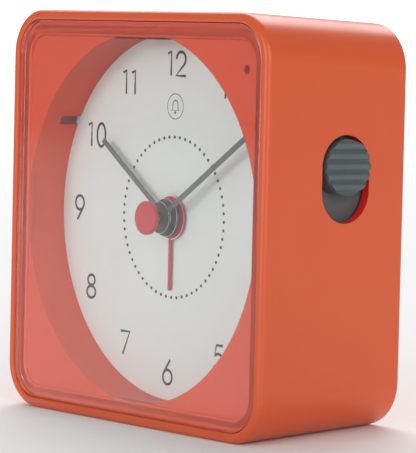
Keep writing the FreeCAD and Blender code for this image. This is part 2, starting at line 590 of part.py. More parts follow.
def make_battery_door():
    """Flush door with a locating rib behind and thumb grooves outside."""
    door = new_body("battery_door")
    inner = "case_depth - door_thickness"
    width = f"{BAY_WIDTH} - 2 * door_gap"
    height = f"{BAY_HEIGHT} - 2 * door_gap"
    pad(door, rounded(f"{width} + 2 * door_ledge", f"{height} + 2 * door_ledge",
                      "door_corner - door_gap"), inner, "case_depth", *BAY_PLACE)
    pad(door, box(width, height), f"{inner} - door_rib", inner, *BAY_PLACE)
    pocket(door, box(f"{width} - 2 * door_thickness", f"{height} - 2 * door_thickness"),
           f"{inner} - door_rib", inner, *BAY_PLACE)
    for groove in (-1, 0, 1):
        pocket(door, box("slot_width", f"{BAY_HEIGHT} / 2"), "case_depth - slot_width", "case_depth",
               f"{groove} * thumb_pitch + ({BAY_WIDTH}) / 3", BAY_PLACE[1])


# ---------------------------------------------------------------- hands
def make_hand(label, depth, name, length, bush_radius, bush_length, bore):
    """Flat bar hand with a round hub and a bush behind it."""
    hand = new_body(label)
    angle = f"{name}_angle"
    back = f"{depth} + hand_thickness"
    pad(hand, disc(f"{name}_hub_radius"), depth, back)
    pad(hand, box(f"{name}_width", length), depth, back, f"{length} / 2 * sin({angle})",
        f"{length} / 2 * cos({angle})", f"-({angle})")
    pad(hand, disc(bush_radius), back, f"{back} + {bush_length}")
    pocket(hand, disc(bore), depth, f"{back} + {bush_length}")


def make_hands():
    """Alarm, hour and minute hands and the round seconds disc."""
    make_hand("minute_hand", "minute_depth", "minute", "(aperture_radius - minute_gap)",
              "minute_bush_radius", "bush_length", "minute_tube_radius")
    make_hand("hour_hand", "hour_depth", "hour", "hour_length", "hour_bush_radius", "bush_length",
              "hour_tube_radius")
    make_hand("alarm_hand", "alarm_depth", "alarm", "alarm_length", "alarm_bush_radius",
              "alarm_bush_length", "alarm_tube_radius")
    seconds = new_body("seconds_disc")
    back = "seconds_depth + seconds_thickness"
    pad(seconds, disc("seconds_radius"), "seconds_depth", back)
    dress(seconds, "Fillet", "seconds_round", flat_at("seconds_depth"))
    pad(seconds, disc("seconds_sleeve_radius"), back, f"{back} + seconds_sleeve_length")
    pocket(seconds, disc("seconds_arbor_radius"), f"{back} - seconds_thickness / 2",
           f"{back} + seconds_sleeve_length")


# ---------------------------------------------------------------- movement frame
def make_front_plate():
    """Front plate of the movement with its bearings, pegs and the minute wheel's post."""
    plate = new_body("movement_front_plate")
    middle = f"(movement_top - {MOVEMENT_BOTTOM}) / 2"
    tall = f"movement_top + {MOVEMENT_BOTTOM}"
    pad(plate, rounded("movement_width", tall, "movement_corner"), CARRIER_BACK, PLATE_BACK, "0", middle)
    for x, y in EARS:
        pad(plate, disc("ear_radius"), CARRIER_BACK, PLATE_BACK, x, y)
        pad(plate, box(EAR_STRIP, "2 * ear_radius"), CARRIER_BACK, PLATE_BACK,
            f"{x} / ear_across * movement_width / 2", y)
        pocket(plate, disc("small_screw_radius"), CARRIER_BACK, PLATE_BACK, x, y)
    pad(plate, disc("pivot_radius + pivot_play / 2"), f"{PLATE_BACK} - fit",
        "motion_depth + pinion_length - pivot_play", *MINUTE_WHEEL)
    for x, y in PEGS:
        pad(plate, disc("peg_radius"), f"{PLATE_BACK} - fit", "stator_depth", x, y)
    for side in (-1, 1):
        pad(plate, disc("peg_radius"), f"{PLATE_BACK} - fit", "board_depth",
            f"{BOARD_PLACE[0]} + {side} * board_width / 4", f"{BOARD_PLACE[1]} + {side} * board_height / 3")
    pocket(plate, disc("alarm_tube_radius + running_gap"), CARRIER_BACK, PLATE_BACK)
    for x, y in PIVOTS:
        pocket(plate, disc("pivot_radius + pivot_play / 2"), f"{PLATE_BACK} - pivot_depth", PLATE_BACK, x, y)
    for x, y in STEMS:
        pocket(plate, disc("stem_radius + pivot_play / 2"), f"{PLATE_BACK} - pivot_depth", PLATE_BACK, x, y)


def make_housing():
    """Rear housing of the movement: the wheel chamber in front, the battery bay behind."""
    housing = new_body("movement_housing")
    middle = f"(movement_top - {MOVEMENT_BOTTOM}) / 2"
    tall = f"movement_top + {MOVEMENT_BOTTOM}"
    pad(housing, rounded("movement_width", tall, "movement_corner"), PLATE_BACK, HOUSING_BACK, "0", middle)
    for x, y in EARS:
        pad(housing, disc("ear_radius"), PLATE_BACK, f"{PLATE_BACK} + ear_thickness", x, y)
        pad(housing, box(EAR_STRIP, "2 * ear_radius"), PLATE_BACK, f"{PLATE_BACK} + ear_thickness",
            f"{x} / ear_across * movement_width / 2", y)
        pocket(housing, disc("small_screw_radius"), PLATE_BACK, f"{PLATE_BACK} + ear_thickness", x, y)
    pad(housing, box("2 * prong", "switch_length"), "slider_depth - lever_size",
        "slider_depth + lever_size", "movement_width / 2", "slider_up")
    chamber = "movement_top - movement_wall + chamber_floor"
    pocket(housing, rounded(BAY_WIDTH, chamber, "movement_wall"), PLATE_BACK, "rear_plate_depth",
           "0", "(movement_top - movement_wall - chamber_floor) / 2")
    pocket(housing, box(BAY_WIDTH, BAY_HEIGHT), "bay_floor", HOUSING_BACK, *BAY_PLACE)
    for x, y in STEMS:
        pocket(housing, disc("stem_radius + pivot_play / 2"), "rear_plate_depth", HOUSING_BACK, x, y)
    for x, y in PIVOTS + (AXIS,):
        pocket(housing, disc("pivot_radius + pivot_play / 2"), "rear_plate_depth",
               "rear_plate_depth + pivot_depth", x, y)


# ---------------------------------------------------------------- wheels
def make_seconds_train():
    """Rotor, intermediate wheel, seconds wheel, third wheel and centre wheel, in mesh."""
    phase = 0.0
    rotor_pinion = gear("rotor", "motor_module", "intermediate_depth - pivot_play * 2",
                        "intermediate_depth + wheel_thickness + pivot_play * 2", *ROTOR, phase)
    middle = "stator_depth + stator_thickness / 2"
    magnet = rod("rotor_radius", f"{middle} - rotor_length / 2", f"{middle} + rotor_length / 2", *ROTOR)
    arbor = rod("pivot_radius", STEM_FRONT, STEM_BACK, *ROTOR)
    stand(fuse(rotor_pinion, magnet, arbor), "rotor")

    wheel_phase = meshed("rotor", phase, ROTOR, "intermediate", INTERMEDIATE)
    wheel = gear("intermediate", "motor_module", "intermediate_depth",
                 "intermediate_depth + wheel_thickness", *INTERMEDIATE, wheel_phase)
    pinion_front = "seconds_wheel_depth - pivot_play * 2"
    pinion_back = "seconds_wheel_depth + wheel_thickness + pivot_play * 2"
    pinion = gear("intermediate_pinion", "motor_module", pinion_front, pinion_back, *INTERMEDIATE, phase)
    arbor = rod("pivot_radius", STEM_FRONT, STEM_BACK, *INTERMEDIATE)
    stand(fuse(wheel, pinion, arbor), "intermediate_wheel")

    wheel_phase = meshed("intermediate_pinion", phase, INTERMEDIATE, "seconds", AXIS)
    wheel = gear("seconds", "motor_module", "seconds_wheel_depth",
                 "seconds_wheel_depth + wheel_thickness", *AXIS, wheel_phase)
    pinion = gear("seconds_pinion", SECONDS_MODULE, "seconds_wheel_depth + wheel_thickness",
                  "third_wheel_depth + wheel_thickness + pivot_play", *AXIS, phase)
    shaft = rod("seconds_arbor_radius", "seconds_depth + seconds_thickness / 2", "third_wheel_depth")
    tail = rod("pivot_radius", "third_wheel_depth", STEM_BACK)
    stand(fuse(wheel, pinion, shaft, tail), "seconds_wheel")

    wheel_phase = meshed("seconds_pinion", phase, AXIS, "third", THIRD)
    wheel = gear("third", SECONDS_MODULE, "third_wheel_depth", "third_wheel_depth + wheel_thickness",
                 *THIRD, wheel_phase)
    pinion = gear("third_pinion", CENTRE_MODULE, "centre_wheel_depth - pivot_play * 2",
                  "centre_wheel_depth + wheel_thickness + pivot_play * 2", *THIRD, phase)
    arbor = rod("pivot_radius", STEM_FRONT, STEM_BACK, *THIRD)
    stand(fuse(wheel, pinion, arbor), "third_wheel")

    wheel_phase = meshed("third_pinion", phase, THIRD, "centre", AXIS)
    wheel = gear("centre", CENTRE_MODULE, "centre_wheel_depth", "centre_wheel_depth + wheel_thickness",
                 *AXIS, wheel_phase)
    bore = rod("minute_tube_radius + running_gap", "motion_depth", "seconds_wheel_depth")
    stand(cut(wheel, bore), "centre_wheel")


def make_motion_work():
    """Minute arbor with its clutch washer, minute wheel, hour wheel and alarm wheel."""
    phase = 0.0
    pinion_back = "motion_depth + pinion_length"
    tube_back = "centre_wheel_depth + wheel_thickness + hand_thickness"
    pinion = gear("minute_pinion", MOTION_MODULE, "motion_depth", pinion_back, *AXIS, phase)
    tube = rod("minute_tube_radius", "minute_depth - tube_reach", tube_back)
    bore = rod("seconds_arbor_radius + running_gap", "seconds_depth", "seconds_wheel_depth")
    stand(cut(fuse(pinion, tube), bore), "minute_arbor")
    washer_front = "centre_wheel_depth + wheel_thickness + pivot_play / 2"
    stand(cut(rod("washer_radius", washer_front, tube_back),
              rod("minute_tube_radius", "motion_depth", "seconds_wheel_depth")), "clutch_washer")

    wheel_phase = meshed("minute_pinion", phase, AXIS, "minute_wheel", MINUTE_WHEEL)
    wheel = gear("minute_wheel", MOTION_MODULE, "motion_depth + pivot_play * 2",
                 "motion_depth + pivot_play * 2 + wheel_thickness", *MINUTE_WHEEL, wheel_phase)
    pinion = gear("minute_wheel_pinion", HOUR_MODULE, "hour_wheel_depth - pivot_play * 2",
                  "hour_wheel_depth + wheel_thickness + pivot_play * 2", *MINUTE_WHEEL, phase)
    hub = rod("pivot_radius * 2 + pivot_play * 2", "hour_wheel_depth",
              "motion_depth + pivot_play * 2 + wheel_thickness", *MINUTE_WHEEL)
    bore = rod("pivot_radius + pivot_play", "alarm_wheel_depth", "centre_wheel_depth", *MINUTE_WHEEL)
    stand(cut(fuse(wheel, pinion, hub), bore), "minute_wheel")

    hour_phase = meshed("minute_wheel_pinion", phase, MINUTE_WHEEL, "hour", AXIS)
    wheel = gear("hour", HOUR_MODULE, "hour_wheel_depth", "hour_wheel_depth + wheel_thickness",
                 *AXIS, hour_phase)
    tube = rod("hour_tube_radius", "hour_depth - pivot_play", "hour_wheel_depth + wheel_thickness / 2")
    bore = rod("minute_tube_radius + running_gap", "minute_depth", "motion_depth")
    stand(cut(fuse(wheel, tube), bore), "hour_wheel")

    wheel = gear("alarm", "hour_module", "alarm_wheel_depth", "alarm_wheel_depth + wheel_thickness",
                 *AXIS, phase)
    tube = rod("alarm_tube_radius", "alarm_depth", "alarm_wheel_depth + wheel_thickness / 2")
    bore = rod("hour_tube_radius + running_gap", "hour_depth", "hour_wheel_depth")
    stand(cut(fuse(wheel, tube), bore), "alarm_wheel")

    set_phase = meshed("minute_wheel", wheel_phase, MINUTE_WHEEL, "time_set", TIME_STEM)
    make_stem("time_set", MOTION_MODULE, "motion_depth", TIME_STEM, set_phase)
    set_phase = meshed("alarm", phase, AXIS, "alarm_set", ALARM_STEM)
    make_stem("alarm_set", "hour_module", "alarm_wheel_depth - pivot_play * 2", ALARM_STEM, set_phase)


def make_stem(name, module, depth, place, phase):
    """Setting stem with its pinion, and the fluted knob in its well at the back."""
    knob_back = "case_depth - knob_recess"
    knob_front = f"{knob_back} - knob_height"
    pinion = gear(name, module, depth, f"{depth} + pinion_length", *place, phase)
    shaft = rod("stem_radius", STEM_FRONT, f"{knob_back} - knob_height / 3", *place)
    stand(fuse(pinion, shaft), name + "_stem")
    knob = new_body(name + "_knob")
    pad(knob, disc("knob_radius"), knob_front, knob_back, *place)
    dress(knob, "Chamfer", "knob_chamfer", flat_at(knob_back))
    pocket(knob, disc("stem_radius"), knob_front, f"{knob_back} - knob_height / 3", *place)
    flute = pocket(knob, disc("flute_radius"), knob_front, knob_back,
                   f"{place[0]} + knob_radius", place[1])
    doc.recompute()
    axis = knob.newObject("PartDesign::Line", name + "_axis")
    plane = next(item for item in knob.Origin.OriginFeatures if item.Role == "XY_Plane")
    axis.AttachmentSupport = [(plane, "")]
    axis.MapMode = "ObjectZ"
    for letter, text in zip("xy", place):
        bind(axis, f"AttachmentOffset.Base.{letter}", text)
    ring = knob.newObject("PartDesign::PolarPattern", name + "_flutes")
    ring.Originals = [flute]
    ring.Axis = (axis, [""])
    ring.Angle = 360
    ring.Occurrences = FLUTES
    knob.Tip = ring


# ---------------------------------------------------------------- motor and electronics
def make_motor():
    """Stator, core, bobbin and winding of the stepping motor."""
    stator = new_body("stator")
    back = "stator_depth + stator_thickness"
    span = "stator_left + stator_right"
    centre = "(stator_right - stator_left) / 2"
    pad(stator, box(span, "stator_high - stator_low"), "stator_depth", back, centre,
        "(stator_high + stator_low) / 2")
    tab_top = "core_up + core_width / 2"
    for x in ("-stator_left + tab_width / 2", "stator_right - tab_width / 2"):
        pad(stator, box("tab_width", f"{tab_top} - stator_low"), "stator_depth", back, x,
            f"({tab_top} + stator_low) / 2")
    pocket(stator, disc("rotor_radius + air_gap"), "stator_depth", back, *ROTOR)
    core_back = f"{back} + stator_thickness"
    core = new_body("coil_core")
    pad(core, box(span, "core_width"), back, core_back, centre, "core_up")
    middle = f"{back} + stator_thickness / 2"
    coil_centre = "(coil_right - coil_left) / 2"
    coil_length = "coil_left + coil_right"
    flange = [block("bobbin_flange", "coil_width", f"{middle} - coil_width / 2", f"{middle} + coil_width / 2",
                    place, "core_up")
              for place in ("-coil_left - bobbin_flange / 2", "coil_right + bobbin_flange / 2")]
    barrel_width = "core_width + 2 * bobbin_flange"
    barrel = block(f"{coil_length} + fit", barrel_width, f"{middle} - ({barrel_width}) / 2",
                   f"{middle} + ({barrel_width}) / 2", coil_centre, "core_up")
    bore = block(f"{coil_length} + 4 * bobbin_flange", "core_width", back, core_back, coil_centre, "core_up")
    stand(cut(fuse(barrel, *flange), bore), "coil_bobbin")
    winding = block(coil_length, "coil_width - bobbin_flange",
                    f"{middle} - coil_width / 2 + bobbin_flange / 2",
                    f"{middle} + coil_width / 2 - bobbin_flange / 2", coil_centre, "core_up")
    hollow = block(f"{coil_length} + fit", barrel_width, f"{middle} - ({barrel_width}) / 2",
                   f"{middle} + ({barrel_width}) / 2", coil_centre, "core_up")
    stand(cut(winding, hollow), "coil_winding")


def make_board():
    """Circuit board with its chip and crystal."""
    board_back = "board_depth + board_thickness"
    board = new_body("circuit_board")
    pad(board, box("board_width", "board_height"), "board_depth", board_back, *BOARD_PLACE)
    chip = new_body("control_chip")
    pad(chip, rounded("chip_size", "chip_size", "chip_size / 4"), board_back,
        f"{board_back} + chip_height", BOARD_PLACE[0], "board_up - board_height / 4")
    dress(chip, "Fillet", "chip_height / 3", flat_at(f"{board_back} + chip_height"))
    start = f"{BOARD_PLACE[0]} - crystal_length / 2"
    stand(group(crosswise("crystal_radius", start, f"{start} + crystal_length",
                          "board_up + board_height / 4", f"{board_back} + crystal_radius")),
          "quartz_crystal")


def make_battery_parts():
    """AA cell lying crosswise in its bay, between a flat contact and a sprung one."""
    cell_right = f"({BAY_WIDTH}) / 2 - contact_thickness"
    can = crosswise("cell_radius", f"{cell_right} - cell_length", f"{cell_right} - nub_length",
                    f"-{BAY_UP}", BAY_DEPTH)
    nub = crosswise("nub_radius", f"{cell_right} - nub_length", cell_right, f"-{BAY_UP}", BAY_DEPTH)
    stand(fuse(can, nub), "battery_cell")
    front, back = "bay_floor + contact_thickness", f"{HOUSING_BACK} - contact_thickness"
    stand(group(block("contact_thickness", "contact_width", front, back,
                      f"{cell_right} + contact_thickness / 2", f"-{BAY_UP}")), "battery_contact_positive")
    left = -size(BAY_WIDTH) / 2
    tip = size(f"{cell_right} - cell_length")
    thick, ends, middle = size("contact_thickness"), (size(front), size(back)), size(BAY_DEPTH)
    crest = [Vector(left, 0, -ends[1]), Vector(left, 0, -ends[0]), Vector(left + thick, 0, -ends[0]),
             Vector(tip, 0, -middle + thick), Vector(tip, 0, -middle - thick),
             Vector(left + thick, 0, -ends[1])]
    inside = [Vector(left + thick, 0, -ends[0] - 4 * thick), Vector(tip - thick, 0, -middle),
              Vector(left + thick, 0, -ends[1] + 4 * thick)]
    width = size("contact_width")
    spring = doc.addObject("Part::Feature", "sprung_contact")
    leaf = Part.Face(Part.makePolygon(crest + crest[:1])).extrude(Vector(0, width, 0))
    gap = Part.Face(Part.makePolygon(inside + inside[:1])).extrude(Vector(0, width, 0))
    spring.Shape = leaf.cut(gap).translated(Vector(0, -size(BAY_UP) - width / 2, 0))
    stand(group(spring), "battery_contact_negative")


def make_alarm_parts():
    """Contact spring beside the hour wheel and the buzzer behind its sound holes."""
    strip_back = "motion_depth - pivot_play"
    strip_end = "-hour_bush_radius - spring_strip / 4"
    strip_start = f"-({BAY_WIDTH}) / 2"
    strip = block(f"{strip_end} - ({strip_start})", "spring_strip", f"{strip_back} - spring_thickness",
                  strip_back, f"({strip_start} + {strip_end}) / 2", "-spring_strip / 4")
    stand(group(strip), "alarm_contact_spring")
    ring_front = f"{BACK_INSIDE} - buzzer_height"
    ring = rod("buzzer_radius", ring_front, BACK_INSIDE, "0", "buzzer_up")
    bore = rod("buzzer_radius - buzzer_wall", ring_front, "case_depth", "0", "buzzer_up")
    stand(cut(ring, bore), "buzzer_ring")
    stand(group(rod("buzzer_radius - buzzer_wall / 2", f"{ring_front} - disc_thickness", ring_front,
                    "0", "buzzer_up")), "buzzer_disc")


def make_lights():
    """Sensor behind the small hole of the surround, lamp behind the slot of its wall."""
    front = f"{FIELD} + sensor_skin"
    stand(group(rod("sensor_radius", front, f"{front} + sensor_length", *SENSOR)),
          "light_sensor")
    wall = "-sqrt((aperture_radius + aperture_wall) ^ 2 - (slot_up + slot_height / 2) ^ 2)"
    stand(group(block("light_width - 2 * light_gap", "slot_height", "slot_depth + light_gap",
                      "dial_depth", f"{wall} - light_width / 2 - light_gap", "slot_up")), "dial_light")


def make_alarm_slider():
    """Ribbed round slider with its flange, and the slide switch that it works."""
    slider = new_body("alarm_switch_slider")
    centre = "slider_up + slider_travel / 2"
    flange_back = "slider_floor + flange_thickness"
    half = "(slider_travel + slider_slot_width / 2 + flange_overlap)"
    side_pad(slider, box(f"2 * {half}", "flange_width"), "slider_floor", flange_back, centre)
    side_pad(slider, disc("slider_knob_radius"), "-slider_proud", "slider_floor", centre)
    for groove in (-2, -1, 0, 1):
        side_pocket(slider, box("rib_groove", "2 * slider_knob_radius"), "-slider_proud",
                    "rib_depth - slider_proud", f"{centre} + ({groove} + 1 / 2) * rib_pitch")
    for side in (-1, 1):
        side_pad(slider, box("prong", "lever_size"), flange_back, f"{flange_back} + switch_clear",
                 f"{centre} + {side} * (lever_size + prong) / 2")
    lever = new_body("switch_lever")
    switch_front = f"{flange_back} + switch_clear"
    side_pad(lever, box("lever_size", "lever_size"), f"{flange_back} + fit",
             f"{switch_front} + lever_size / 2", centre)
    switch = new_body("slide_switch")
    switch_back = f"{switch_front} + switch_depth"
    side_pad(switch, box("switch_length + slider_travel", "switch_length"), f"{switch_front} + fit",
             switch_back, "slider_up")
    side_pocket(switch, box("slider_travel + lever_size + 2 * fit", "lever_size + 2 * fit"),
                f"{switch_front} + fit", f"{switch_front} + lever_size / 2 + fit", "slider_up")
    board = new_body("switch_board")
    side_pad(board, box("switch_length + slider_travel + pivot_play", "switch_length + prong"),
             switch_back, f"{switch_back} + board_thickness", "slider_up")


def check_model():
    """Stop on any failed feature, empty pocket or unsound solid."""
    doc.recompute()
    for item in doc.Objects:
        if "Invalid" in item.State or "Error" in item.State:
            raise RuntimeError(f"{item.Name} of {item.Label} failed: {item.State}")
        if item.TypeId == "PartDesign::Pocket":
            removed = item.BaseFeature.Shape.Volume - item.Shape.Volume
            if removed <= 0:
                raise RuntimeError(f"{item.Name} cuts nothing")
    for piece in nodes:
        if piece.Shape.isNull() or not piece.Shape.isValid() or not piece.Shape.Solids:
            raise RuntimeError(f"{piece.Label} has no sound solid")


make_case_shell()
make_front_lens()
make_dial_surround()
make_dial_and_carrier()
make_fasteners()
make_battery_door()
make_hands()
make_front_plate()
make_housing()
make_seconds_train()
make_motion_work()
make_motor()
make_board()
make_battery_parts()
make_alarm_parts()
make_lights()
make_alarm_slider()
check_model()
os.makedirs("parts", exist_ok=True)
for piece in nodes:
    piece.Shape.exportStep(f"parts/{piece.Label}.step")
    print(piece.Label, len(piece.Shape.Solids), round(piece.Shape.Volume, 2))
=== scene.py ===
"""Square travel alarm clock, stood on a pale table under soft studio light.

Lengths in the classes are millimetres in the clock's own frame: X to the right, Y up, Z out of the
front, with the origin where the hands' axis meets the front plane. Depths run back from that plane.
"""
import json
import logging
import math
from dataclasses import dataclass, field
from enum import Enum
from typing import Callable, Iterable

import bmesh
import bpy
from mathutils import Matrix, Vector


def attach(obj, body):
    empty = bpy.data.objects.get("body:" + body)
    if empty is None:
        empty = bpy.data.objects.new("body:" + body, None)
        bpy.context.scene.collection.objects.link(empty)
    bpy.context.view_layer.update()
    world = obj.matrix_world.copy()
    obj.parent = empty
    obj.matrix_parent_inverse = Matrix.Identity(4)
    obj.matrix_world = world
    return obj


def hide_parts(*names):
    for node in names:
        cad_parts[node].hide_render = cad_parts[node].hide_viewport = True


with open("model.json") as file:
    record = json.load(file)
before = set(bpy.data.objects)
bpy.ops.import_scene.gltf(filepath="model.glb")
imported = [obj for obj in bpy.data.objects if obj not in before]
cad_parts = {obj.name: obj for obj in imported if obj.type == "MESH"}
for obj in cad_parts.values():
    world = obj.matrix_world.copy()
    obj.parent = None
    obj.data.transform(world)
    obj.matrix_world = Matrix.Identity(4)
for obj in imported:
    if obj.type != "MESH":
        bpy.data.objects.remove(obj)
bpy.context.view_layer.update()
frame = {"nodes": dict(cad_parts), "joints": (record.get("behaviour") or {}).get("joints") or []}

LOG = logging.getLogger("travel_clock")
MM = 0.001
CENTRE_WHEEL_DEPTH = 18.5
DRAFT = math.radians(2.31)
Piece = bpy.types.Object
Tree = bpy.types.NodeTree
Socket = bpy.types.NodeSocket
Pair = tuple[float, float]
Path = list[Pair]


def clock_to_row() -> Matrix:
    """Turn from the clock's frame to the row frame, read from the seconds joint.

    Returns:
        The matrix that takes millimetres in the clock's frame to metres where the clock stands.
    """
    joint = next(item for item in frame["joints"] if item["name"] == "seconds_turn")
    front = Vector(joint["axis"]).normalized()
    right = Vector((1.0, 0.0, 0.0))
    up = front.cross(right)
    origin = Vector(joint["pos_m"]) + front * CENTRE_WHEEL_DEPTH * MM
    turn = Matrix((right, up, front)).transposed().to_4x4()
    return Matrix.Translation(origin) @ turn @ Matrix.Scale(MM, 4)


STANCE = clock_to_row()


# -------------------- modelling by hand
def deselect() -> None:
    """Leave object mode with nothing selected."""
    if bpy.context.object and bpy.context.object.mode != "OBJECT":
        bpy.ops.object.mode_set(mode="OBJECT")
    bpy.ops.object.select_all(action="DESELECT")


def take(piece: Piece) -> Piece:
    """Select one object alone and make it active.

    Args:
        piece: the object.

    Returns:
        The same object.
    """
    deselect()
    piece.select_set(True)
    bpy.context.view_layer.objects.active = piece
    return piece


def freeze() -> None:
    """Put the active object's place, turn and size into its mesh."""
    bpy.ops.object.transform_apply(location=True, rotation=True, scale=True)


def settle(name: str) -> Piece:
    """Name the primitive just added and freeze its place and size into its mesh.

    Args:
        name: name for the object and its mesh.

    Returns:
        The object.
    """
    piece = bpy.context.object
    take(piece)
    freeze()
    piece.name = name
    piece.data.name = name
    return piece


def drum(name: str, radius: float, near: float, far: float, x: float = 0.0, y: float = 0.0,
         sides: int = 64) -> Piece:
    """Add a cylinder along the clock's axis between two depths.

    Args:
        name: object name.
        radius: radius in millimetres.
        near: depth of the front face.
        far: depth of the rear face.
        x: place across.
        y: place up.
        sides: number of facets round it.

    Returns:
        The new object.
    """
    deselect()
    bpy.ops.mesh.primitive_cylinder_add(vertices=sides, radius=radius, depth=far - near,
                                        location=(x, y, -(near + far) / 2))
    return settle(name)


def block(name: str, width: float, height: float, near: float, far: float, x: float = 0.0,
          y: float = 0.0) -> Piece:
    """Add a box between two depths.

    Args:
        name: object name.
        width: size across.
        height: size up.
        near: depth of the front face.
        far: depth of the rear face.
        x: centre across.
        y: centre up.

    Returns:
        The new object.
    """
    deselect()
    bpy.ops.mesh.primitive_cube_add(size=1.0, location=(x, y, -(near + far) / 2))
    bpy.context.object.scale = (width, height, far - near)
    return settle(name)


def pick(piece: Piece, kind: str, test: Callable[[list[Vector]], bool]) -> None:
    """Select the vertices, edges or faces whose corner points pass a test, in edit mode.

    Args:
        piece: the object, left in edit mode.
        kind: VERT, EDGE or FACE.
        test: takes the element's corner points.
    """
    if piece.mode != "EDIT":
        take(piece)
        bpy.ops.object.mode_set(mode="EDIT")
    bpy.ops.mesh.select_mode(type=kind)
    bpy.ops.mesh.select_all(action="DESELECT")
    mesh = bmesh.from_edit_mesh(piece.data)
    rows = {"VERT": mesh.verts, "EDGE": mesh.edges, "FACE": mesh.faces}[kind]
    for item in rows:
        corners = [item.co] if kind == "VERT" else [vert.co for vert in item.verts]
        if test(corners):
            item.select_set(True)
    mesh.select_flush_mode()
    bmesh.update_edit_mesh(piece.data)


def done(piece: Piece) -> Piece:
    """Leave edit mode and return the object."""
    if piece.mode == "EDIT":
        bpy.ops.object.mode_set(mode="OBJECT")
    return piece


def modify(piece: Piece, kind: str, **settings: object) -> None:
    """Add one modifier and apply it.

    Args:
        piece: the object.
        kind: Blender's modifier type.
        settings: properties of the modifier.
    """
    take(piece)
    modifier = piece.modifiers.new(kind.lower(), kind)
    for key, value in settings.items():
        setattr(modifier, key, value)
    bpy.ops.object.modifier_apply(modifier=modifier.name)


def carve(piece: Piece, tools: Iterable[Piece], operation: str = "DIFFERENCE") -> None:
    """Cut tools out of a piece, or join them to it, and throw the tools away.

    Args:
        piece: the object that is kept.
        tools: the objects that are used up.
        operation: DIFFERENCE, UNION or INTERSECT.
    """
    for tool in list(tools):
        modify(piece, "BOOLEAN", object=tool, operation=operation, solver="EXACT")
        bpy.data.objects.remove(tool)


def soften(piece: Piece, width: float, segments: int = 3, angle: float = 40.0) -> None:
    """Round every edge sharper than an angle.

    Args:
        piece: the object.
        width: width of the rounding.
        segments: facets across it.
        angle: the angle, in degrees.
    """
    modify(piece, "BEVEL", width=width, segments=segments, limit_method="ANGLE",
           angle_limit=math.radians(angle), harden_normals=False, use_clamp_overlap=True)


def merge(pieces: list[Piece], name: str) -> Piece:
    """Join several objects into one mesh.

    Args:
        pieces: the objects; the first one keeps its origin.
        name: name of the result.

    Returns:
        The joined object.
    """
    take(pieces[0])
    for piece in pieces:
        piece.select_set(True)
    bpy.ops.object.join()
    pieces[0].name = name
    return pieces[0]


def stand(piece: Piece, smooth: float = 35.0) -> Piece:
    """Move a finished mesh from the clock's frame to where the clock stands, and shade it.

    Args:
        piece: object modelled in millimetres.
        smooth: edges flatter than this angle in degrees are shaded smooth.

    Returns:
        The same object, at the origin, with its place in its mesh.
    """
    take(piece)
    piece.matrix_world = STANCE
    freeze()
    bpy.ops.object.shade_smooth_by_angle(angle=math.radians(smooth))
    modify(piece, "WEIGHTED_NORMAL", keep_sharp=True)
    return piece


# -------------------- finishes
def linear(colour: str) -> tuple[float, float, float, float]:
    """Turn a screen colour into a linear one.

    Args:
        colour: sRGB hex value.

    Returns:
        Linear red, green and blue, with full alpha.
    """
    parts = [int(colour[i:i + 2], 16) / 255 for i in (1, 3, 5)]
    rgb = [c / 12.92 if c <= 0.04045 else ((c + 0.055) / 1.055) ** 2.4 for c in parts]
    return (*rgb, 1.0)


def add_node(tree: Tree, kind: str, settings: dict | None = None,
             inputs: dict | None = None) -> bpy.types.Node:
    """Add one node with its settings, fixed inputs and links.

    Args:
        tree: node tree of the material.
        kind: Blender's node type name.
        settings: properties of the node.
        inputs: input name to a value, or to an output socket to link from.

    Returns:
        The new node.
    """
    node = tree.nodes.new(kind)
    for key, value in (settings or {}).items():
        setattr(node, key, value)
    for key, value in (inputs or {}).items():
        if isinstance(value, Socket):
            tree.links.new(value, node.inputs[key])
        else:
            node.inputs[key].default_value = value
    return node


